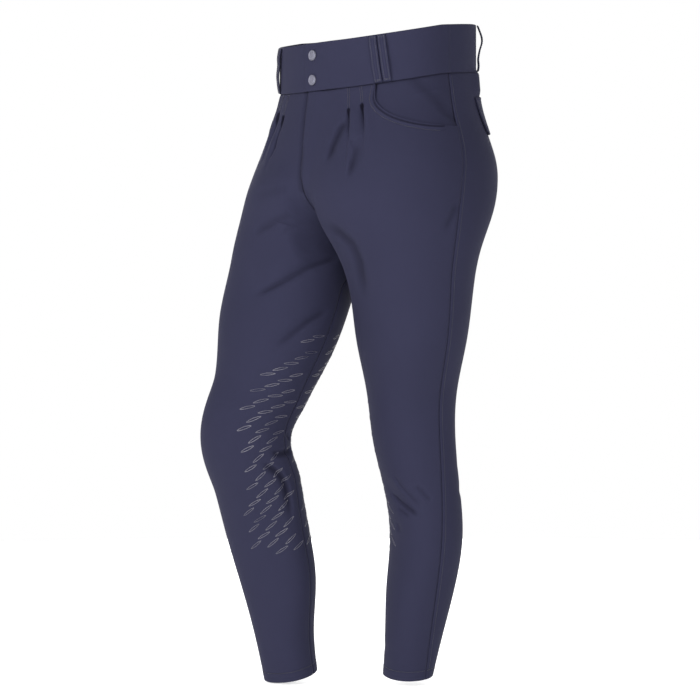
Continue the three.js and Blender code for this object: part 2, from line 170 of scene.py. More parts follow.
# A point of the plain left half: a rounded oval section, its valley in the middle softened by
# x -> root(x^2 - m^2), and tilted at the waist.
def sectionPoint(face, angle, down):
    angle, down = alike(angle, down)
    cx, cy, outer, inner, front, back = np.moveaxis(sectionAt(np.maximum(down, 0)), -1, 0)
    c, s = np.cos(angle), np.sin(angle)
    power = 2 / form["roundness"]
    across = np.sign(c) * np.abs(c) ** power
    along = np.sign(s) * np.abs(s) ** power
    wide = cx + np.where(across > 0, outer, inner) * across
    valley = valleyAt(face, down)
    clear = wide ** 2 - valley ** 2
    x = np.where(valley > 0, np.sign(clear) * np.sqrt(np.abs(clear)), wide)
    y = cy - np.where(along > 0, front, back) * along
    tilt = -np.where(along > 0, form["frontDrop"], form["backRise"]) * along
    z = form["waistSeam"] - down + tilt * (1 - smooth(0, form["tiltFade"], down))
    return np.stack([x, y, z], -1)


# The angle at which a ring reaches the middle plane, or its inner end below the crotch.
def endAngle(face, down):
    cx, _, outer, inner, _, _ = np.moveaxis(sectionAt(down), -1, 0)
    inwards = cx - np.hypot(form["half"], valleyAt(face, down))
    across = np.minimum(inwards / np.where(inwards > 0, inner, outer), 1)
    onPlane = np.arccos(-np.sign(across) * np.abs(across) ** (form["roundness"] / 2))
    return np.minimum(onPlane, np.pi - form["half"] / inner) * (1 if face == "front" else -1)


# For each millimetre down: the angle at even shares of the way from the side seam to the inner edge, and
# the length of that way.
def ringTable(face):
    sign = 1 if face == "front" else -1
    start = np.radians(sideSeamAt(downSteps)[:, 0]) + sign * form["half"] / parts[:, 2]
    t = np.linspace(0, 1, form["ringSteps"] + 1)
    angles = start[:, None] + (endAngle(face, downSteps) - start)[:, None] * t
    points = sectionPoint(face, angles, downSteps[:, None])
    steps = np.linalg.norm(np.diff(points, axis=1), axis=-1)
    lengths = np.concatenate([np.zeros((len(steps), 1)), np.cumsum(steps, axis=1)], axis=1)
    even = np.array([np.interp(t * row[-1], row, turn) for row, turn in zip(lengths, angles)])
    return even, lengths[:, -1]


rings = {face: ringTable(face) for face in ("front", "back")}


def lengthAt(face, down):
    return np.interp(down, downSteps, rings[face][1])


def angleAt(face, distance, down):
    table = rings[face][0]
    row = np.clip(down, 0, downSteps[-1] - 0.001)
    i = row.astype(int)
    f = row - i
    column = np.clip(distance / lengthAt(face, down), 0, 1) * form["ringSteps"]
    k = np.minimum(column.astype(int), form["ringSteps"] - 1)
    g = column - k
    upper = table[i, k] * (1 - g) + table[i, k + 1] * g
    lower = table[i + 1, k] * (1 - g) + table[i + 1, k + 1] * g
    return upper * (1 - f) + lower * f


pleats = {
    # fromCentre, drift per 100 mm down, ridge, groove, stitched length, end
    "rows": [[66, 22, 3.2, 5.6, 32, 150], [86, 28, 2.8, 5.6, 27, 130]],
    "ridgeWidth": 8, "ridgeOffset": 7, "steep": 1.2, "gentle": 4.6, "stitched": 0.5, "stitchedWidth": 1.3,
    # where each comes or goes, down from the waist seam or past the end of the stitching
    "starts": (-4, 6), "opens": (-14, 18), "hollows": (-3, 5), "shallows": (14, 62), "fades": 30,
    # the mouth, painted in shade: half its width, where it opens and where it narrows, and how far off it is
    # measured
    "mouth": 3.2, "mouthOpens": (-2, 1), "mouthNarrows": (2, 28), "mouthShift": 0.4, "mouthFar": 20.0,
}


# Stitched flat above; below, a ridge beside a groove, steep on its outer side and gentle towards the front.
def pleatHeight(fromCentre, down):
    height = 0
    for centre, drift, ridge, groove, stitched, end in pleats["rows"]:
        off, past = fromCentre - centre - drift * down / 100, down - stitched
        opened = smooth(*pleats["opens"], past)
        mouth = smooth(*pleats["hollows"], past)
        fade = 1 - smooth(stitched + pleats["fades"], end, down)
        deep = 1 - smooth(*pleats["shallows"], past)
        side = np.where(off > 0, pleats["steep"], pleats["gentle"] * (0.45 + 0.55 * opened))
        hollow = groove * mouth * (0.35 + 0.65 * deep) * bell(off, side)
        body = ridge * (0.25 + 0.75 * opened) * bell(off - pleats["ridgeOffset"], pleats["ridgeWidth"])
        line = pleats["stitched"] * bell(off, pleats["stitchedWidth"]) * (1 - mouth)
        height = height + ((body - hollow) * fade - line) * smooth(*pleats["starts"], down)
    return height


# Folds on the unrolled leg. Angles run from the outer side (0) to the front (90), the inseam (180) and the
# back (-90).
folds = {
    # shares of a fold's run where it rises and where it fades
    "fadeAtSeam": 25, "largeEnds": (-0.15, 0.35, 0.55, 1.1), "fineEnds": (-0.02, 0.22, 0.68, 1.0),
    # side, first angle and down, second angle and down, width, height
    "large": [
        [-1, 160, 262, 82, 350, 11, -3], [-1, 152, 238, 84, 322, 17, 2.4], [-1, 176, 328, 112, 428, 13, -2.5],
        [-1, 118, 556, 172, 572, 11, -2.4], [1, 95, 588, 36, 634, 11, -2.2], [1, 92, 624, 12, 612, 11, -1.8],
    ],
    # side, places along the fold as angle and down, width on its two sides, height
    "fine": [
        [-1, [(100, 171), (66, 201)], 15, 15, -1.4],
        [-1, [(112, 216), (92, 240), (73, 267)], 4.5, 11, -2.3],
        [-1, [(116, 231), (103, 255)], 5, 9, -1.4],
        [-1, [(160, 262), (152, 273), (127, 303), (99, 336), (84, 348)], 2.4, 6, -3.3],
        [-1, [(174, 330), (153, 360), (137, 390), (119, 417)], 3.0, 7, -2.5],
        [-1, [(63, 26), (64, 57), (69, 90), (68, 123)], 3.2, 7, -3.8],
        [-1, [(200, 548), (186, 558), (166, 558), (150, 553)], 5, 7, -4.3],
        [-1, [(134, 566), (147, 576), (156, 588), (160, 606), (160, 636), (154, 672)], 4, 8, -4.6],
        [-1, [(197, 534), (180, 522)], 4, 6, -2.6],
        [1, [(94, 206), (77, 216), (69, 231), (68, 255), (72, 288), (77, 327)], 12, 9, -3.5],
        [1, [(-4, 176), (-2, 195), (2, 218)], 4, 8, -2.0],
        [1, [(66, 78), (64, 102), (67, 150)], 2.2, 9, -2.5],
        [1, [(69, 48), (77, 84), (83, 126)], 3.2, 6, -2.2],
        [1, [(70, 573), (58, 594), (42, 612), (25, 627)], 3.2, 5, -1.9],
        [1, [(36, 588), (21, 603), (10, 618)], 3.2, 5, -2.0],
        [1, [(90, 606), (68, 621), (48, 630), (31, 639)], 2.8, 5, -3.5],
        [1, [(77, 630), (50, 640)], 3.2, 5, -2.2],
        [1, [(81, 652), (77, 668)], 3.5, 6, -1.7],
        [1, [(66, 44), (73, 69), (79, 96), (83, 128)], 2.6, 7, -2.2],
        [1, [(66, 92), (66, 117), (66, 150)], 2.2, 6, -1.6],
        [1, [(-37, -6), (-36, 14), (-34, 42)], 15, 15, 5.5],
        # hidden sides: under the seat, behind the knees and at the ankles
        [1, [(-152, 234), (-120, 262), (-84, 272)], 7, 12, -2.2],
        [1, [(-146, 268), (-112, 294), (-86, 300)], 6, 10, -1.5],
        [-1, [(-154, 230), (-118, 256), (-80, 262)], 7, 12, -2.0],
        [-1, [(-148, 262), (-116, 284), (-90, 288)], 6, 10, -1.4],
        [1, [(-56, 566), (-95, 578), (-138, 570)], 6, 9, -1.9],
        [1, [(-48, 606), (-90, 616), (-140, 604)], 6, 9, -1.6],
        [-1, [(-62, 546), (-108, 554), (-152, 546)], 6, 8, -2.8],
        [-1, [(-54, 588), (-100, 604), (-146, 594)], 6, 9, -2.2],
        [1, [(40, 842), (90, 850), (140, 842)], 7, 7, -0.7],
        [-1, [(60, 836), (110, 844), (170, 838)], 7, 7, -0.7],
        [-1, [(20, 168), (44, 190)], 8, 12, -1.1],
    ],
}


def foldEnds(kind, along):
    start, full, fading, end = folds[kind]
    return smooth(start, full, along) * (1 - smooth(fading, end, along))


# Each large fold is a soft ridge or trough along a straight line on the unrolled leg, fading at both ends.
def largeFolds(side, angle, down):
    radius = sectionAt(np.maximum(down, 0))[..., 4]
    height = np.zeros_like(radius)
    for own, a0, d0, a1, d1, width, tall in folds["large"]:
        across, length = (angle - np.radians(a0)) * radius, down - d0
        runAcross, runDown = np.radians(a1 - a0) * radius, d1 - d0
        run = np.hypot(runAcross, runDown)
        along = (across * runAcross + length * runDown) / run / run
        beside = (across * runDown - length * runAcross) / run
        shape = bell(beside, width) * foldEnds("largeEnds", along)
        height = height + np.where(side == own, tall * shape, 0)
    return height


# Each fine fold follows a line through its places: the nearest stretch gives the height, with one width on
# each side of it.
def fineFolds(side, angle, down):
    radius = sectionAt(np.maximum(down, 0))[..., 4]
    height = np.zeros_like(radius)
    for own, places, widthA, widthB, tall in folds["fine"]:
        if not np.any(side == own):
            continue
        nearest = np.full_like(radius, 1e9)
        beside, along = np.zeros_like(radius), np.zeros_like(radius)
        for k, ((a0, d0), (a1, d1)) in enumerate(zip(places[:-1], places[1:])):
            turn = (angle - np.radians(a0) + np.pi) % (2 * np.pi) - np.pi
            across, length = turn * radius, down - d0
            runAcross, runDown = np.radians(a1 - a0) * radius, d1 - d0
            run2 = runAcross ** 2 + runDown ** 2
            t = np.clip((across * runAcross + length * runDown) / run2, 0, 1)
            gap = np.hypot(across - t * runAcross, length - t * runDown)
            sign = np.sign(across * runDown - length * runAcross)
            closer = gap < nearest
            nearest = np.where(closer, gap, nearest)
            beside = np.where(closer, sign, beside)
            along = np.where(closer, (k + t) / (len(places) - 1), along)
        shape = bell(nearest, np.where(beside > 0, widthA, widthB)) * foldEnds("fineEnds", along)
        height = height + np.where(side == own, tall * shape, 0)
    return height


# A point of the cloth with its folds: the plain form moved along its level outward normal.
def foldedPoint(side, face, distance, down):
    step = 0.5
    angle = angleAt(face, distance, down)
    point = sectionPoint(face, angle, down)
    sooner = sectionPoint(face, angleAt(face, distance - step, down), down)
    later = sectionPoint(face, angleAt(face, distance + step, down), down)
    outward = np.stack([later[..., 1] - sooner[..., 1], sooner[..., 0] - later[..., 0], 0 * down], -1)
    length = np.maximum(np.linalg.norm(outward, axis=-1, keepdims=True), 1e-9)
    outward *= (-1 if face == "front" else 1) / length
    total = lengthAt(face, down)
    inFromSeam = np.minimum(distance, total - distance)
    height = largeFolds(side, angle, down) * smooth(0, folds["fadeAtSeam"], inFromSeam)
    height = height + fineFolds(side, angle, down)
    if face == "front":
        height = height + pleatHeight(total - distance, down)
    point = point + outward * height[..., None]
    point[..., 0] *= side
    return point


# The same point moved out along the cloth's own normal.
def liftedPoint(side, face, distance, down, lift):
    step = 0.6
    total = lengthAt(face, down)
    share = distance / total
    above = foldedPoint(side, face, share * lengthAt(face, down - step), down - step)
    below = foldedPoint(side, face, share * lengthAt(face, down + step), down + step)
    near = foldedPoint(side, face, np.maximum(distance - step, 0), down)
    far = foldedPoint(side, face, np.minimum(distance + step, total), down)
    normal = unit(np.cross(far - near, below - above))
    outward = side * (1 if face == "front" else -1) * lift
    return foldedPoint(side, face, distance, down) + normal * outward[..., None]


# Turns points about a pivot round one axis: 0, 1, 2 for x, y, z.
def turned(points, pivot, axis, degrees):
    first, second = (axis + 1) % 3, (axis + 2) % 3
    result = points - pivot
    a, b = result[..., first].copy(), result[..., second].copy()
    c, s = np.cos(np.radians(degrees)), np.sin(np.radians(degrees))
    result[..., first] = a * c - b * s
    result[..., second] = a * s + b * c
    return result + pivot


# One leg's pose: the knee bends first, then the hip.
def movedWithLeg(points, leg):
    own = stance[leg]
    down = form["waistSeam"] - points[..., 2]
    knee = smooth(stance["kneeDown"] - stance["kneeReach"], stance["kneeDown"] + stance["kneeReach"], down)
    hip = smooth(stance["hipStart"], stance["hipEnd"], down)
    kneeAt = np.array([leg * stance["kneeOffset"], 0, form["waistSeam"] - stance["kneeDown"]], float)
    hipAt = np.array([leg * stance["hipOffset"], 0, form["waistSeam"] - stance["hipDown"]], float)
    moved = points.copy()
    moved[..., 2] += own["pushedUp"] * smooth(stance["hipDown"], form["legLength"], down)
    kneeTurns = ((2, leg * own["kneeTurn"]), (0, own["knee"]), (1, -leg * own["kneeOutward"]))
    hipTurns = ((2, leg * own["turn"]), (0, -own["forward"]), (1, -leg * own["outward"]))
    for pivot, share, turns in ((kneeAt, knee, kneeTurns), (hipAt, hip, hipTurns)):
        for axis, degrees in turns:
            moved = turned(moved, pivot, axis, degrees * share)
    return moved


# The two poses flow into each other across the middle, down to the crotch and a little below it.
def posed(points):
    belowCrotch = np.maximum(form["waistSeam"] - points[..., 2] - crotchDown, 0)
    own = 0.5 + 0.5 * smooth(0, stance["blend"], np.hypot(points[..., 0], belowCrotch))
    left = np.where(points[..., 0] < 0, 1 - own, own)[..., None]
    return movedWithLeg(points, 1) * left + movedWithLeg(points, -1) * (1 - left)


# The half of the body that a place is on, and its distance from the side seam.
def halfAndDistance(side, face, fromCentre, down):
    return np.where(fromCentre < 0, -side, side), np.maximum(lengthAt(face, down) - np.abs(fromCentre), 0)


# Places on the cloth by distance from the centre seam of a face. A negative distance runs on over the other
# half.
def clothPoints(side, face, fromCentre, down, lift):
    fromCentre, down, lift = alike(fromCentre, down, lift)
    own, distance = halfAndDistance(side, face, fromCentre, down)
    return posed(liftedPoint(own, face, distance, down, lift)) / 1000


def addPiece(name, points, faces, material, attributes=None, uv=None):
    mesh = bpy.data.meshes.new(name)
    mesh.from_pydata(points.tolist(), [], faces)
    mesh.polygons.foreach_set("use_smooth", np.ones(len(mesh.polygons), bool))
    for key, values in (attributes or {}).items():
        mesh.attributes.new(key, "FLOAT", "POINT").data.foreach_set("value", values.astype(np.float32))
    if uv is not None:
        corners = np.empty(len(mesh.loops), np.int32)
        mesh.loops.foreach_get("vertex_index", corners)
        mesh.uv_layers.new(name="cloth").data.foreach_set("uv", uv[corners].astype(np.float32).ravel())
    mesh.materials.append(material)
    mesh.validate()
    piece = placed(name, mesh)
    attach(piece, "root")
    return piece


def outwardFaces(points, quads):
    a, b, c, d = (points[quads[:, k]] for k in range(4))
    volume = np.einsum("ij,ij->", a, np.cross(b, c)) + np.einsum("ij,ij->", a, np.cross(c, d))
    return (quads[:, ::-1] if volume < 0 else quads).tolist()


# The quads between closed rings of points, one ring to a row.
def ringQuads(grid):
    beside = np.roll(grid, -1, axis=1)
    return np.stack([grid[:-1], beside[:-1], beside[1:], grid[1:]], -1).reshape(-1, 4)


# The faces of a closed thin wall: the outer skin, the inner skin one grid further on, and the rims between.
def wallFaces(rows, columns):
    n = rows * columns
    grid = np.arange(n).reshape(rows, columns)
    skin = np.stack([grid[:-1, :-1], grid[1:, :-1], grid[1:, 1:], grid[:-1, 1:]], -1).reshape(-1, 4)
    rim = np.concatenate([grid[0, :-1], grid[:-1, -1], grid[-1, :0:-1], grid[:0:-1, 0]])
    after = np.roll(rim, -1)
    return np.concatenate([skin, skin[:, ::-1] + n, np.stack([rim, after, after + n, rim + n], -1)])


def addWall(name, outer, inner, across, down, lines, material):
    points = np.concatenate([outer.reshape(-1, 3), inner.reshape(-1, 3)])
    faces = outwardFaces(points, wallFaces(*down.shape))
    flat = {key: np.tile(np.broadcast_to(value, down.shape).ravel(), 2) for key, value in lines.items()}
    uv = np.tile(np.stack([across.ravel(), down.ravel()], -1) / 1000, (2, 1))
    piece = addPiece(name, points, faces, material, flat, uv)
    return piece


# How far out the outer and the inner skin of a wall lie. The rims are rounded: along the outermost rows
# both skins draw together, each by its share of the wall.
rim = {"outer": 0.42, "inner": 0.2}


def skinLifts(outer, inner, wall):
    edge = np.zeros(outer.shape)
    edge[[0, -1], :] = 1
    edge[:, [0, -1]] = 1
    return outer - rim["outer"] * wall * edge, inner - wall + rim["inner"] * wall * edge


# A cloth wall over a grid of places; a crown lifts its outer skin alone.
def clothShell(name, side, face, fromCentre, down, lift, wall, material, lines, crown=0):
    fromCentre, down, lift = alike(fromCentre, down, lift)
    skins = skinLifts(lift + crown, lift, wall)
    outer, inner = (clothPoints(side, face, fromCentre, down, out) for out in skins)
    return addWall(name, outer, inner, fromCentre, down, lines, material)


# How deep the cloth lies in a fine fold or a pleat at each place; the cloth finish paints shade into the
# creases by this depth.
def creaseAt(side, face, fromCentre, down):
    own, distance = halfAndDistance(side, face, fromCentre, down)
    height = fineFolds(own, angleAt(face, distance, down), down)
    if face == "front":
        height = height + pleatHeight(fromCentre, down)
    return np.maximum(-height, 0)


# A row of stitches along a path on the cloth: each is a small grain of thread, pressed into the surface.
stitch = {
    "pitch": 3.0, "length": 2.3, "width": 0.42, "height": 0.34, "raised": 0.12,
    # sides, and the place and thickness of each ring between the two tips
    "sides": 6, "rings": [(-0.36, 0.75), (0, 1), (0.36, 0.75)],
}


def stitchGrains(side, face, fromCentre, down, lift):
    path, above = (clothPoints(side, face, fromCentre, down, lift + out) * 1000 for out in (0, 1))
    run = runAlong(path)
    at = np.arange(stitch["pitch"] / 2, run[-1], stitch["pitch"])
    centre = pointsAt(path, run, at)
    along = unit(pointsAt(path, run, at + 1) - pointsAt(path, run, at - 1))
    across = unit(np.cross(pointsAt(above, run, at) - centre, along))
    up = np.cross(along, across)
    turn = np.arange(stitch["sides"]) / stitch["sides"] * 2 * np.pi
    size = [stitch["length"], stitch["width"], stitch["height"]]
    local = [[x, np.cos(t) * r, np.sin(t) * r] for x, r in stitch["rings"] for t in turn]
    local = np.array([[-0.5, 0, 0], *local, [0.5, 0, 0]]) * size
    grains = centre[:, None] + local[None, :, :1] * along[:, None] + local[None, :, 1:2] * across[:, None]
    return grains + (local[None, :, 2:] + stitch["raised"]) * up[:, None]


def addStitches(name, paths):
    grains = np.concatenate([stitchGrains(*path) for path in paths]) / 1000
    sides, points = stitch["sides"], grains.shape[1]
    last = points - 1
    around = [(k, (k + 1) % sides) for k in range(sides)]
    one = [(0, 1 + b, 1 + a) for a, b in around]
    one += [(r + a, r + b, r + sides + b, r + sides + a) for r in (1, 1 + sides) for a, b in around]
    one += [(last, last - sides + a, last - sides + b) for a, b in around]
    faces = [tuple(i + base for i in face) for base in range(0, len(grains) * points, points) for face in one]
    piece = addPiece(name, grains.reshape(-1, 3), faces, threadMaterial)


# A socket takes a wire as its link, and anything else as its value.
def feed(tree, slot, value):
    if isinstance(value, Wire):
        tree.links.new(value.socket, slot)
    else:
        slot.default_value = value


class Wire:
    # A socket that sums, differences and products can be written with; each adds one Math node.
    def __init__(self, tree, socket):
        self.tree, self.socket = tree, socket

    def math(self, operation, *others):
        node = self.tree.nodes.new("ShaderNodeMath")
        node.operation = operation
        for slot, value in zip(node.inputs, others):
            feed(self.tree, slot, value)
        return Wire(self.tree, node.outputs[0])

    def __add__(self, other):
        return self.math("ADD", self, other)

    def __radd__(self, other):
        return self.math("ADD", other, self)

    def __sub__(self, other):
        return self.math("SUBTRACT", self, other)

    def __rsub__(self, other):
        return self.math("SUBTRACT", other, self)

    def __mul__(self, other):
        return self.math("MULTIPLY", self, other)

    def __rmul__(self, other):
        return self.math("MULTIPLY", other, self)

    def __truediv__(self, other):
        return self.math("DIVIDE", self, other)

    def __abs__(self):
        return self.math("ABSOLUTE", self)

    def sine(self):
        return self.math("SINE", self)

    def atLeast(self, other):
        return self.math("MAXIMUM", self, other)

    def atMost(self, other):
        return self.math("MINIMUM", self, other)


class Finish:
    # One material's node tree, with its main shader and the object coordinates that its noises read.
    def __init__(self, name):
        self.material = bpy.data.materials.new(name)
        self.material.use_nodes = True
        self.tree = self.material.node_tree
        self.shader = self.tree.nodes["Principled BSDF"]
        self.where = self.node("ShaderNodeTexCoord", None, None, "Object")

    # Adds a node: its type, its settings, then the values or wires of its sockets. It gives one output, or
    # several where their numbers are asked for together.
    def node(self, kind, settings=None, sockets=None, out=0):
        node = self.tree.nodes.new(kind)
        for key, value in (settings or {}).items():
            setattr(node, key, value)
        for key, value in (sockets or {}).items():
            feed(self.tree, node.inputs[key], value)
        if isinstance(out, tuple):
            return [Wire(self.tree, node.outputs[k]) for k in out]
        return Wire(self.tree, node.outputs[out])

    def set(self, **values):
        for key, value in values.items():
            feed(self.tree, self.shader.inputs[key.replace("_", " ")], value)

    def attribute(self, name):
        return self.node("ShaderNodeAttribute", {"attribute_name": name}, None, 2)

    def noise(self, scale, detail=3.0, roughness=0.55):
        sockets = {"Vector": self.where, "Scale": scale, "Detail": detail, "Roughness": roughness}
        return self.node("ShaderNodeTexNoise", None, sockets)

    def mixed(self, factor, first, second):
        return self.node("ShaderNodeMix", {"data_type": "RGBA"}, {0: factor, 6: first, 7: second}, 2)

    def bump(self, height, strength, distance, under=None):
        sockets = {"Height": height, "Strength": strength, "Distance": distance}
        if under is not None:
            sockets["Normal"] = under
        return self.node("ShaderNodeBump", None, sockets)


cloth = {
    "light": (0.0196, 0.0199, 0.0396, 1), "dark": (0.0148, 0.0150, 0.0303, 1),
    # seam: near black, the tone of the seam lines and also of the painted shade beside edges, in pleat mouths
    # and in creases
    "seam": (0.0030, 0.0029, 0.007, 1),
    # spacing of ribs and yarn in mm and how far each slants, then the scales of the soft and the fine noise
    "twill": 1.1, "twillSlant": 0.8, "yarn": 0.55, "yarnSlant": 0.9,
    "cloud": 7.0, "soft": 38.0, "melange": 1400.0,
    # painted shade in creases: the darkening starts at creaseFrom mm deep, grows by creaseShade for each mm
    # and stops at creaseMost
    "creaseFrom": 0.7, "creaseShade": 0.17, "creaseMost": 0.62, "roughness": 0.74, "sheen": 0.03,
}


# Stretch twill: fine slanted ribs crossed by yarn, a faint melange, soft cloudy tone, and darker lines in its
# seams; some lines are painted shade along edges that lie over other cloth and in pleat mouths and folds, and
# creases can get painted shade as well. A line has an attribute's name, its place, its half width in mm and
# its strength.
def clothFinish(name, lines, tone=1.0, paintCreaseShade=False):
    own = Finish(name)
    flat = own.node("ShaderNodeUVMap", {"uv_map": "cloth"})
    across, down = own.node("ShaderNodeSeparateXYZ", None, {0: flat}, (0, 1))
    perMetre = 2000 * math.pi
    twill = ((across + down * cloth["twillSlant"]) * (perMetre / cloth["twill"])).sine()
    yarn = ((across * cloth["yarnSlant"] - down) * (perMetre / cloth["yarn"])).sine()
    cloud = own.noise(cloth["cloud"], 2.0)
    melange = own.noise(cloth["melange"], 2.0, 0.6)
    line = None
    for key, place, width, strength in lines:
        near = (1 - abs(own.attribute(key) - place) / width).atLeast(0) * strength
        line = near if line is None else near.atLeast(line)
    toned = {key: tuple(c * tone for c in cloth[key][:3]) + (1,) for key in ("dark", "light", "seam")}
    shade = own.mixed(cloud * 0.7 + melange * 0.5 - 0.1 + twill * 0.05, toned["dark"], toned["light"])
    # painted shade: cloth that lies deep in a fold or pleat is darkened towards the seam tone
    if paintCreaseShade:
        depth = (own.attribute("crease") - cloth["creaseFrom"]) * cloth["creaseShade"]
        shade = own.mixed(depth.atLeast(0).atMost(cloth["creaseMost"]), shade, toned["seam"])
    # the lines darken towards the seam tone: dark seams, and painted shade where a line stands for a shadow
    own.set(Base_Color=own.mixed(line, shade, toned["seam"]), Roughness=cloth["roughness"] + melange * 0.16)
    own.set(Sheen_Weight=cloth["sheen"], Sheen_Roughness=0.45, Sheen_Tint=(0.6, 0.6, 0.95, 1))
    own.set(Specular_IOR_Level=0.12, Specular_Tint=(0.7, 0.7, 1, 1))
    weave = own.bump(twill * 0.5 + yarn * 0.3 + melange * 0.5, 0.16, 0.0002)
    soft = own.bump(own.noise(cloth["soft"], 2.0), 0.05, 0.004, weave)
    own.set(Normal=own.bump(0 - line, 0.55, 0.0006, soft))
    return own.material


thread = {"dark": (0.011, 0.011, 0.022, 1), "light": (0.019, 0.019, 0.036, 1), "twist": 2600.0}


def threadFinish():
    own = Finish("thread")
    twist = own.noise(thread["twist"], 1.0)
    own.set(Base_Color=own.mixed(twist, thread["dark"], thread["light"]), Roughness=0.55 + twist * 0.2)
    own.set(Sheen_Weight=0.15, Normal=own.bump(twist, 0.3, 0.0002))
    return own.material


silicone = {
    "clear": (0.024, 0.024, 0.045, 1), "milky": (0.092, 0.088, 0.112, 1), "cloud": 34.0, "grain": 900.0,
}


def printFinish():
    own = Finish("gripPrint")
    cloudy = own.noise(silicone["cloud"])
    share = (cloudy * 3.6 - 1.25).atLeast(0).atMost(1)
    own.set(Base_Color=own.mixed(share, silicone["clear"], silicone["milky"]), Roughness=0.26 + cloudy * 0.2)
    own.set(Coat_Weight=0.4, Coat_Roughness=0.2, Normal=own.bump(own.noise(silicone["grain"]), 0.12, 0.0003))
    return own.material


metal = {"dark": (0.085, 0.083, 0.115, 1), "light": (0.20, 0.20, 0.25, 1), "grain": 3200.0, "wear": 260.0}


def snapFinish():
    own = Finish("snapMetal")
    grain = own.noise(metal["grain"], 2.0)
    wear = own.noise(metal["wear"])
    own.set(Base_Color=own.mixed(wear, metal["dark"], metal["light"]), Metallic=0.6)
    own.set(Roughness=0.42 + grain * 0.22, Normal=own.bump(grain, 0.2, 0.0002))
    return own.material


makeCamera()
print("stage: camera")

seam = {
    "dip": 0.55, "dipWidth": 1.8, "roll": 0.18, "rollAt": 4, "rollWidth": 2.5, "topStitch": 5.5,
    "waistDip": 0.35, "waistWidth": 2.0,
}
hem = {"turnUp": 14, "thick": 0.35, "groove": 0.3}
pocket = {"start": 109, "rise": 17, "depthAtSide": 75, "curve": 1.75, "underlap": 14, "topStitch": 5.5}
fly = {
    "lapTop": 12, "lapFoot": 2.5, "taper": 120, "length": 152, "rampStart": 3, "rampEnd": 28, "fade": 24,
    # the lap's foot rounds off from above its end to a little below it
    "roundFrom": -26, "roundTo": 3,
    # the right front lies lower beside the lap: depth, place, width and where that fades out
    "trough": 2.0, "troughAt": 2, "troughWidth": 6, "troughFade": (130, 175),
    # a distance by which a line is put out of the way where it has ended
    "aside": 60,
}
panel = {
    # from, to and step of the columns from the centre to the pocket, close at the pleats
    "columns": ((0.7, 8, 1.8), (8, 62, 2.6), (62, 102, 0.9), (102, pocket["start"], 2.3)),
    "scoopStep": 2.6, "rimStep": 0.7,
    # the rows run level below topEnd, and the columns are evenly spaced from settled on
    "topEnd": 96, "unsettled": 150, "settled": 300, "hemRow": 0.8,
    # columns of the back beside the side seam, and how many lie between them and the centre
    "besideSeam": [9.5, 7.5, 5.5, 3.6, 2.0, 0.8, 0], "between": 92,
}
trim = {"topStitch": 4.5}

panelLines = (("fromSide", 0, 1.1, 0.5), ("fromInner", 0, 1.6, 0.85), ("fromHem", hem["turnUp"], 0.8, 0.6),
              ("fromWaist", 0, 1.3, 0.8))
# front lines: the scooped pocket edge as a dark edge line widened into painted shade under its lip, its
# topstitch, a painted shadow line along the fly lap's free edge with wider soft painted shade beside it, and
# painted shade in each pleat's mouth
frontSeamsAndShade = (("fromPocket", 0, 2.0, 0.95), ("fromPocket", pocket["topStitch"], 0.7, 0.3),
              ("fromFly", 0, 2.6, 0.95), ("fromFly", -4, 9, 0.4), ("fromPleat", 0, 1.0, 0.95))
backLines = (("fromSide", seam["topStitch"], 0.8, 0.5),)
# facing lines: painted shadow under the front's scooped edge, the side seam, and painted shade along the fold
facingSeamsAndShade = (("fromPocket", 0, 3.4, 0.9), ("fromSide", 0, 1.1, 0.5), ("fromFold", 5, 16, 0.25))
# band lines: its edges, the waist seam, and a painted shadow line at the overlap's free edge
bandSeamsAndShade = (("fromEdge", 0, 0.9, 0.5), ("fromWaist", 0, 1.2, 0.8), ("fromOverlap", 0, 2.2, 0.9))
trimLines = (("fromEdge", 0, 0.8, 0.6), ("fromEdge", trim["topStitch"], 0.5, 0.4))
frontCloth = clothFinish("frontCloth", panelLines + frontSeamsAndShade, paintCreaseShade=True)
backCloth = clothFinish("backCloth", panelLines + backLines, paintCreaseShade=True)
facingCloth = clothFinish("facingCloth", facingSeamsAndShade, 0.94)
bandCloth = clothFinish("bandCloth", bandSeamsAndShade)
trimCloth = clothFinish("trimCloth", trimLines, 1.03)
threadMaterial = threadFinish()
printMaterial = printFinish()
snapMaterial = snapFinish()
print("stage: materials")

waistLength = {face: float(lengthAt(face, 0)) for face in ("front", "back")}


# The scooped edge: straight down from the waist seam, then curving out level to the side seam.
def pocketEdge(fromCentre):
    t = np.clip((fromCentre - pocket["start"]) / (waistLength["front"] - pocket["start"]), 0, 1)
    scoop = (1 - (1 - t) ** pocket["curve"]) ** (1 / pocket["curve"])
    return np.where(t > 0, pocket["rise"] + (pocket["depthAtSide"] - pocket["rise"]) * scoop, 0)


scoopAcross = pocket["start"] + (waistLength["front"] - pocket["start"]) * np.linspace(0, 1, 400)[1:] ** 1.9
scoopPath = np.concatenate([
    np.stack([np.full(12, pocket["start"]), np.linspace(0, pocket["rise"], 12)], -1),
    np.stack([scoopAcross, pocketEdge(scoopAcross)], -1),
])
scoopRun = runAlong(scoopPath)


def spaced(start, end, step):
    return np.linspace(start, end, max(int(round(abs(end - start) / step)), 1) + 1)


# Runs of places end to end: each starts where the one before it ends.
def chained(*runs):
    return np.concatenate([runs[0]] + [run[1:] for run in runs[1:]])


# Places from start to end: close ones at these distances from both ends, and the middle ones between them.
def closeEnded(start, end, close, middle):
    return np.concatenate([start + np.array(close), middle, end - np.array(close)[::-1]])


def alongScoop(run):
    return pointsAt(scoopPath, scoopRun, run)


# Distance of every place to the scooped edge, measured on the unrolled front.
def fromScoop(fromCentre, down):
    path = alongScoop(np.linspace(0, scoopRun[-1], 140))
    gap = np.stack([fromCentre, down], -1)[..., None, :] - path
    return np.linalg.norm(gap, axis=-1).min(-1)


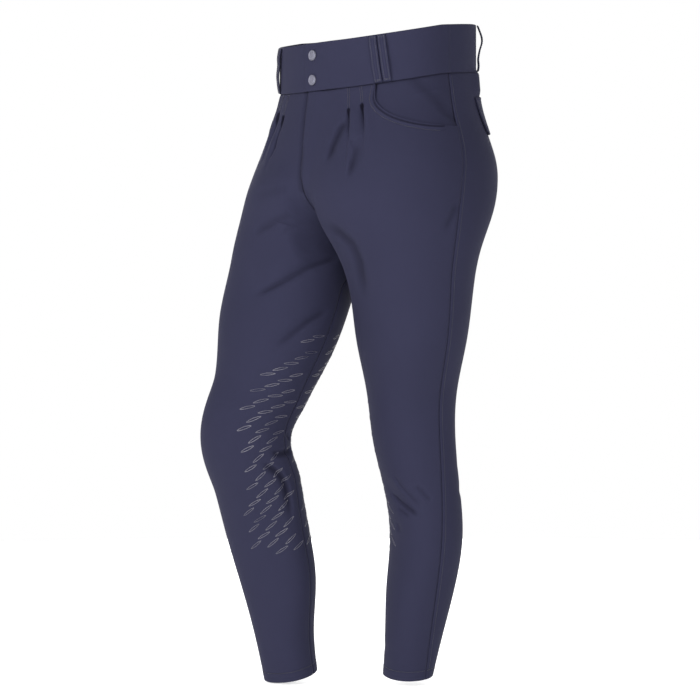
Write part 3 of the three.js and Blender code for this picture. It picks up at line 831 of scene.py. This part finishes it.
# The cloth dips where two panels are sewn together, and rolls a little beside the dip.
def seamDip(distance):
    dip = seam["dip"] * bell(distance, seam["dipWidth"])
    return seam["roll"] * bell(distance - seam["rollAt"], seam["rollWidth"]) - dip


def waistDip(down):
    return seam["waistDip"] * bell(down, seam["waistWidth"])


def flyLift(fromCentre, down):
    across = 1 - smooth(fly["rampStart"], fly["rampEnd"], fromCentre)
    return (form["panelWall"] + form["gap"]) * across * (1 - smooth(0, fly["fade"], down - fly["length"]))


def lapWidth(down):
    width = fly["lapTop"] + (fly["lapFoot"] - fly["lapTop"]) * smooth(0, fly["taper"], down)
    return width * np.sqrt(1 - smooth(fly["roundFrom"], fly["roundTo"], down - fly["length"]))


# Signed distance to the free edge of the fly lap: positive on the left panel, negative on the right one. The
# front cloth paints a shadow line and a soft painted shade along it.
def flyEdge(side, fromCentre, down):
    past = fromCentre + side * lapWidth(np.minimum(down, fly["length"]))
    return side * (past + fly["aside"] * smooth(20, 26, down - fly["length"]))


# Distance to the painted-shade mouth of the nearest pleat: a dark wedge of painted shade, widest where the
# stitching ends.
def pleatMouth(fromCentre, down):
    far = pleats["mouthFar"]
    nearest = np.full(np.shape(down), far)
    for centre, drift, _, _, stitched, _ in pleats["rows"]:
        past = down - stitched
        opened = smooth(*pleats["mouthOpens"], past) * (1 - smooth(*pleats["mouthNarrows"], past))
        wide = pleats["mouth"] * opened
        off = np.abs(fromCentre - centre - drift * down / 100 + pleats["mouthShift"])
        nearest = np.minimum(nearest, np.where(wide > 0.02, np.maximum(off - wide, 0), far))
    return nearest


# Rows from topEnd to the hem, widest apart on the calf.
def lowerRows():
    lastRow = form["legLength"] - panel["hemRow"]
    stops = (panel["topEnd"], crotchDown - 40, crotchDown + 20, 690, 868, lastRow)
    steps = (2.6, 2.5, 2.6, 4.4, 2.2)
    return chained(*map(spaced, stops[:-1], stops[1:], steps), [lastRow, form["legLength"]])


# The hem is turned up: thicker cloth below its stitches, and a groove along them.
def hemLift(down):
    past = form["legLength"] - down - hem["turnUp"]
    return hem["thick"] * (1 - smooth(-0.8, 0.6, past)) - hem["groove"] * bell(past, 1.4)


# The places of a front: columns close at the pleats, the top edge scooped for the pocket, level rows below.
def frontPlaces():
    start, end, rimStep = pocket["start"], waistLength["front"], panel["rimStep"]
    straight = chained([0, rimStep], *(spaced(*run) for run in panel["columns"]))
    runs = spaced(0, scoopRun[-1], panel["scoopStep"])
    scoop = alongScoop(np.insert(runs, -1, scoopRun[-1] - rimStep))
    atTop = np.concatenate([straight, scoop[1:, 0]])
    topDown = np.maximum(np.concatenate([0 * straight, scoop[1:, 1]]), form["half"])
    settledTo = np.concatenate([straight, np.linspace(start, end, len(scoop))[1:]])
    settledTo[-2] = end - rimStep
    t = chained([0, 0.01], spaced(0.01, 1, 1 / 38))[:, None]
    lower = lowerRows()[1:, None]
    down = np.concatenate([topDown + (panel["topEnd"] - topDown) * t, np.repeat(lower, len(atTop), 1)])
    above = atTop + (settledTo - atTop) * smooth(0, 1, t)
    share = np.concatenate([above, np.repeat(settledTo[None], len(lower), 0)]) / end
    even = closeEnded(0, 1, (0, 0.003), np.linspace(0.012, 0.988, len(atTop) - 4))
    share = share + (even - share) * smooth(panel["unsettled"], panel["settled"], down)
    return share * lengthAt("front", down), down


# Distance to the pocket's edge on the rows that come near it; the rows below are out of its way.
def pocketDistance(fromCentre, down):
    rows, far = 90, 200.0
    below = np.full(down[rows:].shape, far)
    return np.concatenate([fromScoop(fromCentre[:rows], down[:rows]), below])


# A leg front. The left one runs on over the centre as the fly lap, and the right one lies lower beside it.
def frontPanel(name, side):
    fromCentre, down = frontPlaces()
    lift = hemLift(down) - waistDip(down)
    if side > 0:
        fromCentre = fromCentre - lapWidth(down) * (1 - smooth(0, 40, fromCentre))
        inner = np.abs(fromCentre) + fly["aside"] * (1 - smooth(-8, 4, down - fly["length"]))
        lift = lift + flyLift(fromCentre, down)
    else:
        inner = fromCentre
        beside = fromCentre - lapWidth(np.minimum(down, fly["length"])) - fly["troughAt"]
        fade = 1 - smooth(*fly["troughFade"], down)
        lift = lift - fly["trough"] * bell(beside, fly["troughWidth"]) * fade
    toScoop = pocketDistance(fromCentre, down)
    distance = lengthAt("front", down) - np.abs(fromCentre)
    lift = lift + seamDip(distance) + seamDip(inner)
    lift = lift + bell(toScoop - 1.5, 3.0) - 0.28 * bell(toScoop - pocket["topStitch"], 1.1)
    lines = {"fromSide": distance, "fromInner": inner, "fromHem": form["legLength"] - down,
             "fromPocket": toScoop, "fromWaist": down, "fromFly": flyEdge(side, fromCentre, down),
             "fromPleat": pleatMouth(fromCentre, down), "crease": creaseAt(side, "front", fromCentre, down)}
    return clothShell(name, side, "front", fromCentre, down, lift, form["panelWall"], frontCloth, lines)


def backPanel(name, side):
    downs = chained([form["half"], 0.8], spaced(0.8, panel["topEnd"], 3.0), lowerRows())
    beside = np.array(panel["besideSeam"])
    ring = lengthAt("back", downs)[:, None]
    between = 0.8 + np.linspace(0, 1, panel["between"]) * (ring - beside[0] - 3 - 0.8)
    fromCentre = np.concatenate([0 * ring, between, ring - beside], 1)
    down = np.repeat(downs[:, None], fromCentre.shape[1], 1)
    distance = ring - fromCentre
    lift = seamDip(distance) + seamDip(fromCentre) + hemLift(down) - waistDip(down)
    lift = lift - 0.32 * bell(distance - seam["topStitch"], 1.2)
    lines = {"fromSide": distance, "fromInner": fromCentre, "fromHem": form["legLength"] - down,
             "fromWaist": down, "crease": creaseAt(side, "back", fromCentre, down)}
    return clothShell(name, side, "back", fromCentre, down, lift, form["panelWall"], backCloth, lines)


for side, word in bothSides:
    frontPanel("front_cloth_" + word, side)
    backPanel("back_cloth_" + word, side)
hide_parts("front_left", "fly_lap")
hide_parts("front_right")
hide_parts("back_left")
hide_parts("back_right")
print("stage: leg panels")


# The facing shows in the scoop and runs on under the front's edge; it has a slack wrinkle near the top and
# a fold that runs out to the side seam. Its finish paints shadow under the front's edge and shade along the
# fold.
def pocketFacing(name, side):
    start, end = pocket["start"] - pocket["underlap"], waistLength["front"]
    across = closeEnded(start, end, [0], spaced(start + 0.7, end - 0.8, 2.6))
    bottom = np.maximum(pocketEdge(across), pocket["rise"]) + pocket["underlap"]
    t = closeEnded(0, 1, [0], spaced(0.012, 0.99, 1 / 34))[:, None]
    down = form["half"] + (bottom - form["half"]) * t
    fromCentre = lengthAt("front", down) * across / waistLength["front"]
    distance = lengthAt("front", down) - fromCentre
    toScoop = fromScoop(fromCentre, down)
    fold = down - 66 + distance * 0.6
    ends = smooth(8, 30, distance) * (1 - smooth(45, 80, distance))
    wrinkle = bell(down - 21 - distance * 0.03, 3.0) * ends
    wrinkle = wrinkle - 1.2 * bell(fold, np.where(fold > 0, 4, 9)) * (1 - smooth(8, 40, distance))
    lift = wrinkle - form["panelWall"] - form["gap"] - waistDip(down)
    lift = lift - 0.9 * bell(distance, seam["dipWidth"]) - 0.5 * bell(toScoop, 4)
    # fromPocket and fromFold carry painted shade: under the front's edge and along the fold
    lines = {"fromPocket": toScoop, "fromSide": distance, "fromFold": fold + distance * 0.5}
    wall = form["panelWall"] - 0.3
    return clothShell(name, side, "front", fromCentre, down, lift, wall, facingCloth, lines)


for side, word in bothSides:
    pocketFacing("pocket_facing_cloth_" + word, side)
    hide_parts("pocket_facing_" + word)

flap = {
    "inner": 46, "outer": 172, "topInner": 32, "topOuter": 36, "height": 51, "wall": 2.2, "standOff": 1.3,
    "corner": 12, "cornerRise": 0.7, "puff": 0.3,
}


# The flap's top edge at each share of its width, and its height, which is less at the rounded lower corners.
def flapOutline(fromCentre, share):
    inset = np.maximum(flap["corner"] - np.minimum(fromCentre - flap["inner"], flap["outer"] - fromCentre), 0)
    corner = flap["corner"] - np.sqrt(flap["corner"] ** 2 - inset ** 2)
    top = flap["topInner"] + (flap["topOuter"] - flap["topInner"]) * share
    return top, flap["height"] - corner * flap["cornerRise"]


def backFlap(name, side):
    inner, outer = flap["inner"], flap["outer"]
    fromCentre = closeEnded(inner, outer, [0, 0.5, 1.4], spaced(inner + 3, outer - 3, 2.4))
    share = np.linspace(0, 1, len(fromCentre))
    top, height = flapOutline(fromCentre, share)
    t = closeEnded(0, 1, [0], spaced(0.015, 0.985, 1 / 22))[:, None]
    down = top + height * t
    fromEdge = np.minimum.reduce(alike((1 - t) * height, fromCentre - inner, outer - fromCentre))
    lift = flap["wall"] + form["gap"] + flap["standOff"] * t - 0.3 * bell(fromEdge - trim["topStitch"], 1.3)
    r = np.linspace(-1, 1, len(t))[:, None]
    crown = flap["puff"] * (1 - np.abs(r) ** 6) * (1 - np.abs(2 * share - 1) ** 24)
    lines = {"fromEdge": fromEdge}
    piece = clothShell(name, side, "back", fromCentre, down, lift, flap["wall"], trimCloth, lines, crown)
    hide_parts(name.replace("_cloth", ""))
    return piece


flaps = {word: backFlap("back_flap_cloth_" + word, side) for side, word in bothSides}
print("stage: pockets")

# The snap end lies over the other one and comes down to it in a ramp; the columns are closer up to denseTo.
band = {"overlap": 19, "underlap": 24, "rampStart": 29, "rampEnd": 66, "puff": 0.25, "denseTo": 70}


def bandLift(fromFront):
    return (form["bandWall"] + form["gap"]) * (1 - smooth(band["rampStart"], band["rampEnd"], fromFront))


# Places on the band by the distance from the centre front round to the centre back.
def bandPoints(side, fromFront, down, lift):
    fromFront, down, lift = alike(fromFront, down, lift)
    turn = waistLength["front"]
    onFront = clothPoints(side, "front", np.minimum(fromFront, turn), down, lift)
    onBack = clothPoints(side, "back", np.maximum(turn + waistLength["back"] - fromFront, 0), down, lift)
    return np.where((fromFront > turn)[..., None], onBack, onFront)


def waistband(name, side, start, liftAt):
    end, height = waistLength["front"] + waistLength["back"], form["bandHeight"]
    fromFront = chained([start, start + 0.6, start + 1.6], spaced(start + 1.6, band["denseTo"], 2.6),
                        spaced(band["denseTo"], end - 1.5, 3.4), [end - 1.5, end - 0.5, end])
    ups = closeEnded(0, height, [0, 0.5, 1.4], spaced(3, height - 3, 2.6))[:, None]
    across, down = alike(fromFront, -height + ups * (height - form["half"]) / height)
    puff = band["puff"] * (1 - np.abs(2 * ups / height - 1) ** 8) - 0.22 * bell(height - ups - 2, 1.3)
    inside = liftAt(across)
    outer, inner = (bandPoints(side, across, down, out)
                    for out in skinLifts(inside + puff, inside, form["bandWall"]))
    # on the right half a painted shadow line marks the overlap's free edge; on the left one it is out of the
    # way
    overlapEnd = across - band["overlap"] - 1 if side < 0 else 50.0
    lines = {"fromEdge": np.minimum(ups, across - start), "fromWaist": -down, "fromOverlap": overlapEnd}
    return addWall(name, outer, inner, across, down, lines, bandCloth)


bands = {
    "left": waistband("waistband_cloth_left", 1, -band["overlap"], bandLift),
    "right": waistband("waistband_cloth_right", -1, -band["underlap"], lambda fromFront: 0 * fromFront),
}
for word in bands:
    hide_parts("waistband_" + word)
print("stage: waistband")

loop = {
    "width": 12, "wall": 1.5, "puff": 0.3, "groove": 2.2, "topStitch": 3.6,
    # face, number, distance from the centre, lean
    "places": [["front", 1, 103.8, 9.3], ["front", 2, 117, 9.3],
               ["back", 1, 112, -6], ["back", 2, 125.2, -6]],
    # stand-off of the slack strip from its top to its foot: an even bow, or a knuckle and a low wave
    "even": [0, 2.8, 4.0, 4.5, 4.5, 4.3, 3.8, 2.6, 0], "front": [0, 1.6, 2.4, 2.0, 2.7, 3.2, 2.6, 1.6, 0],
    "knuckle": [1.2, 4.6, 7.4, 7.6, 5.2, 3.4, 2.6, 3.2, 1.6],
}


# A narrow doubled strip, sewn down at both ends and bowing off the band between them.
def loopPlaces(side, face, start, lean, t, across):
    down = -form["bandHeight"] + 1 + (form["bandHeight"] - 2) * t
    fromCentre = start + lean * t - across
    shape = loop["front"] if face == "front" else loop["knuckle" if side > 0 else "even"]
    bow = splineOf([[k / (len(shape) - 1), value] for k, value in enumerate(shape)])(t)[..., 0]
    return fromCentre, down, loop["wall"] + form["gap"] + bow


def beltLoop(word, side, face, number, start, lean):
    half = loop["width"] / 2
    t = closeEnded(0, 1, [0, 0.008, 0.02], np.linspace(0.045, 0.955, 40))[:, None]
    across = closeEnded(-half, half, [0, 0.4, 1], np.linspace(-half + 2, half - 2, 5))
    fromCentre, down, lift = loopPlaces(side, face, start, lean, t, across)
    fromEdge = half - np.abs(across)
    lift = lift + loop["puff"] * (1 - (across / half) ** 4) - 0.2 * bell(fromEdge - loop["groove"], 0.7)
    name = f"loop_{face}_{word}_{number}"
    piece = clothShell(name + "_cloth", side, face, fromCentre, down, lift, loop["wall"], trimCloth,
                       {"fromEdge": fromEdge})
    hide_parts(name)
    return piece


loops = [beltLoop(word, side, *row) for side, word in bothSides for row in loop["places"]]
print("stage: belt loops")

snap = {
    "diameter": 15, "height": 2.6, "turns": 96, "downs": {"snap_top": -51.2, "snap_bottom": -16},
    "flutes": 24, "fluteDepth": 0.07, "flutesAt": 0.72,
}


# A pressed cap turned from a profile: rolled rim, groove, low dome with two plain rings and fine flutes.
def snapCap(name, down):
    radius, height = snap["diameter"] / 2, snap["height"]
    profile = np.array([
        [0, 0], [radius - 0.6, 0], [radius - 0.15, 0.25], [radius, 0.8], [radius, height - 1.0],
        [radius - 0.12, height - 0.4], [radius - 0.5, height - 0.05], [radius - 0.9, height],
        [radius - 1.4, height - 0.12], [radius - 1.75, height - 0.6], [radius - 2.1, height - 0.75],
        [radius - 2.5, height - 0.55], [radius * 0.58, height - 0.38], [radius * 0.54, height - 0.2],
        [radius * 0.48, height - 0.14], [radius * 0.42, height - 0.28], [radius * 0.26, height - 0.16],
        [radius * 0.1, height - 0.08], [0, height - 0.06],
    ])
    angle = np.arange(snap["turns"]) / snap["turns"] * 2 * np.pi
    r, h = profile[1:-1, :1], profile[1:-1, 1:]
    flutes = snap["fluteDepth"] * np.cos(angle * snap["flutes"]) * bell(r - radius * snap["flutesAt"], 0.7)
    rise = h + np.where(h > height - 0.8, flutes, 0)
    middle = np.zeros(1)
    seat, outside = (bandPoints(1, middle, middle + down, bandLift(middle) + out)[0] * 1000
                     for out in (form["gap"], 10))
    up = unit(outside - seat)
    first = unit(np.cross(up, [0, 0, 1.0]))
    second = np.cross(up, first)
    level = (r * np.cos(angle))[..., None] * first + (r * np.sin(angle))[..., None] * second
    circles = (level + rise[..., None] * up).reshape(-1, 3)
    points = np.concatenate([[profile[0, 1] * up], circles, [profile[-1, 1] * up]]) + seat
    grid = 1 + np.arange(rise.size).reshape(rise.shape)
    lowest, highest = grid[0].tolist(), grid[-1].tolist()
    faces = ringQuads(grid).tolist()
    faces += [[0, b, a] for a, b in zip(lowest, lowest[1:] + lowest[:1])]
    faces += [[1 + rise.size, a, b] for a, b in zip(highest, highest[1:] + highest[:1])]
    piece = addPiece(name + "_cap", points / 1000, faces, snapMaterial)
    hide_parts(name)


for name, down in snap["downs"].items():
    snapCap(name, down)
print("stage: snaps")

grip = {
    "length": 21, "width": 3.0, "line": 0.8, "height": 0.36, "rowStep": 12.5, "acrossStep": 27,
    "tilt": (30, 22),
    # bare cloth at the inseam, above the first row and below the last one; how far the rows wander to and fro
    "seamMargin": 13, "above": 8, "below": 4, "wander": 4, "points": 40,
    # across the printed line: places and heights of a low half oval, its last point below the cloth
    "profile": [[-0.5, -0.1], [-0.36, 0.7], [0, 1], [0.36, 0.7], [0.5, -0.1], [0, -0.5]],
    # down, reach to the front of the inseam, reach to the back of it
    "reach": [[352, 0, 40], [372, 22, 66], [400, 46, 78], [430, 66, 84], [460, 76, 86], [545, 75, 84],
              [600, 80, 80], [650, 84, 74], [686, 80, 66], [704, 58, 48]],
}


# The places and tilts of the lenses: staggered rows on the inner leg, every other row tilted more.
def printPlaces():
    rows, toFront, toBack = np.array(grip["reach"], float).T
    centres = []
    for k, down in enumerate(np.arange(rows[0] + grip["above"], rows[-1] - grip["below"], grip["rowStep"])):
        places = (np.arange(-4, 5) + (k % 2) / 2) * grip["acrossStep"] + grip["wander"] * math.sin(k * 0.7)
        front, back = np.interp(down, rows, toFront), np.interp(down, rows, toBack)
        for across in places:
            if -back < across < front and abs(across) > grip["seamMargin"]:
                centres.append([across, down, math.radians(grip["tilt"][k % 2])])
    return np.array(centres).T[..., None, None]


# Open lens outlines. Each is a low rounded ribbon: the profile carried round the outline.
def gripPrint(name, side):
    t = np.linspace(0, 2 * np.pi, grip["points"], endpoint=False)
    long, short = grip["length"] / 2, grip["width"] / 2
    outline = np.stack([long * np.cos(t), short * np.sin(t) * np.abs(np.sin(t)) ** 0.5], -1)
    run = np.roll(outline, -1, axis=0) - np.roll(outline, 1, axis=0)
    normal = unit(np.stack([run[:, 1], -run[:, 0]], -1))
    profile = np.array(grip["profile"])
    ribbon = outline[:, None] + normal[:, None] * profile[None, :, :1] * grip["line"]
    atAcross, atDown, tilt = printPlaces()
    across = atAcross + ribbon[..., 0] * np.cos(tilt) - ribbon[..., 1] * np.sin(tilt)
    down = atDown + ribbon[..., 0] * np.sin(tilt) + ribbon[..., 1] * np.cos(tilt)
    lift = profile[:, 1] * grip["height"]
    onFront = clothPoints(side, "front", np.maximum(across, 0.1), down, lift)
    onBack = clothPoints(side, "back", np.maximum(-across, 0.1), down, lift)
    points = np.where((across > 0)[..., None], onFront, onBack)
    grid = np.arange(across.size).reshape(across.shape)
    along, over = np.roll(grid, -1, axis=1), np.roll(grid, -1, axis=2)
    quads = np.stack([grid, along, np.roll(along, -1, axis=2), over], -1).reshape(-1, 4)
    piece = addPiece(name, points.reshape(-1, 3), outwardFaces(points.reshape(-1, 3), quads), printMaterial)


for side, word in bothSides:
    gripPrint("grip_print_" + word, side)
print("stage: grip print")

sewing = {
    "pathPoints": 240, "pleatBeside": 1.6, "lift": 0.1,
    # the close bars across a loop's two ends: places along it, and half their length
    "bars": (0.035, 0.055, 0.945, 0.965), "barHalf": 4.6,
}
even = np.linspace(0, 1, sewing["pathPoints"])


def seamStitches(side):
    downs = 3 + (form["legLength"] - 6) * even
    return [(side, "back", lengthAt("back", downs) - seam["topStitch"], downs, -0.3)]


def hemStitches(side):
    down = form["legLength"] - hem["turnUp"]
    return [(side, face, 1 + (lengthAt(face, down) - 2) * even, down, -0.1) for face in ("front", "back")]


# Beside the scooped edge, and on both sides of each pleat down to where it opens.
def pocketStitches(side):
    run = np.linspace(0, scoopRun[-1] - 4, sewing["pathPoints"])
    here = alongScoop(run)
    along = unit(alongScoop(run + 1) - here)
    across = here[:, 0] - along[:, 1] * pocket["topStitch"]
    down = here[:, 1] + along[:, 0] * pocket["topStitch"]
    lift = sewing["lift"] + (flyLift(across, down) if side > 0 else 0)
    paths = [(side, "front", across, np.maximum(down, 1), lift)]
    for centre, drift, _, _, stitched, _ in pleats["rows"]:
        reach = 1 + (stitched - 3) * even
        for beside in (-sewing["pleatBeside"], sewing["pleatBeside"]):
            paths.append((side, "front", centre + drift * reach / 100 + beside, reach, sewing["lift"]))
    return paths


# Down one end of the flap, along its foot and down the other end, all at one distance from its edge.
def flapStitches(side):
    inner, outer, inset = flap["inner"], flap["outer"], trim["topStitch"]
    drop = 4 + (flap["height"] - 13) * even
    edges = ((inner + inset + 0 * even, flap["topInner"] + drop),
             (inner + 5 + (outer - inner - 10) * even, np.inf),
             (outer - inset + 0 * even, flap["topOuter"] + drop))
    paths = []
    for across, down in edges:
        top, height = flapOutline(across, (across - inner) / (outer - inner))
        down = np.minimum(down, top + height - inset)
        rise = flap["wall"] + form["gap"] + flap["standOff"] * (down - top) / flap["height"]
        paths.append((side, "back", across, down, rise + sewing["lift"]))
    return paths


def loopStitches(side):
    t = np.linspace(0.02, 0.98, 80)
    barAcross = np.linspace(-sewing["barHalf"], sewing["barHalf"], 12)
    paths = []
    for face, _, start, lean in loop["places"]:
        for beside in (-loop["topStitch"], loop["topStitch"]):
            fromCentre, down, lift = loopPlaces(side, face, start, lean, t, beside)
            paths.append((side, face, fromCentre, down, lift + 0.12))
        for bar in sewing["bars"]:
            fromCentre, down, lift = loopPlaces(side, face, start, lean, bar, barAcross)
            paths.append((side, face, fromCentre, down, lift + 0.25))
    return paths


for side, word in bothSides:
    addStitches("stitch_side_seam_" + word, seamStitches(side))
    addStitches("stitch_hem_" + word, hemStitches(side))
    addStitches("stitch_pocket_" + word, pocketStitches(side))
    addStitches("stitch_back_flap_" + word, flapStitches(side))
    addStitches("stitch_loops_" + word, loopStitches(side))
print("stage: stitches")

lights = {
    # the studio is white round the horizon and dimmer overhead; the floor glows a little
    "level": 1.0, "overhead": 0.12, "fadeStart": 0.16, "fadeEnd": 0.62, "floorGlow": 0.62, "aimHeight": -0.43,
    # name: azimuth from the camera, elevation, distance, size, watts
    "lamps": {"key": (-46, 12, 3.6, 1.3, 50), "high": (-46, 38, 3.2, 1.3, 30), "front": (3, 15, 3.6, 2.0, 98),
              "rear": (180, 22, 3.8, 3.0, 85)},
}


# A pale round floor, 2 mm below the hems: four rings of points, the inner one filled in.
def addFloor():
    lowest = min(cadBox[0][2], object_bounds()[0][2]) - 0.002
    mesh = bpy.data.meshes.new("floor")
    angle = np.linspace(0, 2 * np.pi, 96, endpoint=False)
    radii = np.array([0.6, 1.2, 2.0, 3.0])[:, None]
    points = np.stack(alike(radii * np.cos(angle), radii * np.sin(angle), lowest), -1)
    grid = np.arange(radii.size * angle.size).reshape(radii.size, angle.size)
    faces = ringQuads(grid)[:, ::-1].tolist() + [grid[0].tolist()]
    mesh.from_pydata(points.reshape(-1, 3).tolist(), [], faces)
    own = Finish("paleFloor")
    tone = own.mixed(own.noise(2.0), (0.90, 0.90, 0.90, 1), (0.94, 0.94, 0.94, 1))
    own.set(Base_Color=tone, Roughness=0.9)
    own.set(Emission_Color=(1, 1, 1, 1), Emission_Strength=lights["floorGlow"])
    mesh.materials.append(own.material)
    floor = placed("floor", mesh)


def addLights():
    world = bpy.data.worlds.new("studio")
    world.use_nodes = True
    nodes, links = world.node_tree.nodes, world.node_tree.links
    way = nodes.new("ShaderNodeTexCoord")
    split = nodes.new("ShaderNodeSeparateXYZ")
    fade = nodes.new("ShaderNodeMapRange")
    for slot, key in zip(fade.inputs[1:5], ("fadeStart", "fadeEnd", "level", "overhead")):
        slot.default_value = lights[key]
    links.new(way.outputs["Generated"], split.inputs[0])
    links.new(split.outputs[2], fade.inputs[0])
    links.new(fade.outputs[0], nodes["Background"].inputs[1])
    nodes["Background"].inputs[0].default_value = (1, 1, 1, 1)
    bpy.context.scene.world = world
    for key, (around, up, distance, size, watts) in lights["lamps"].items():
        data = bpy.data.lights.new(key, "AREA")
        data.shape, data.size, data.energy = "DISK", size, watts
        aim(placed(key, data), camera["azimuth"] + around, up, distance, lights["aimHeight"])


addFloor()
addLights()
bpy.context.scene.view_settings.view_transform = "Standard"
print("stage: floor and lights")
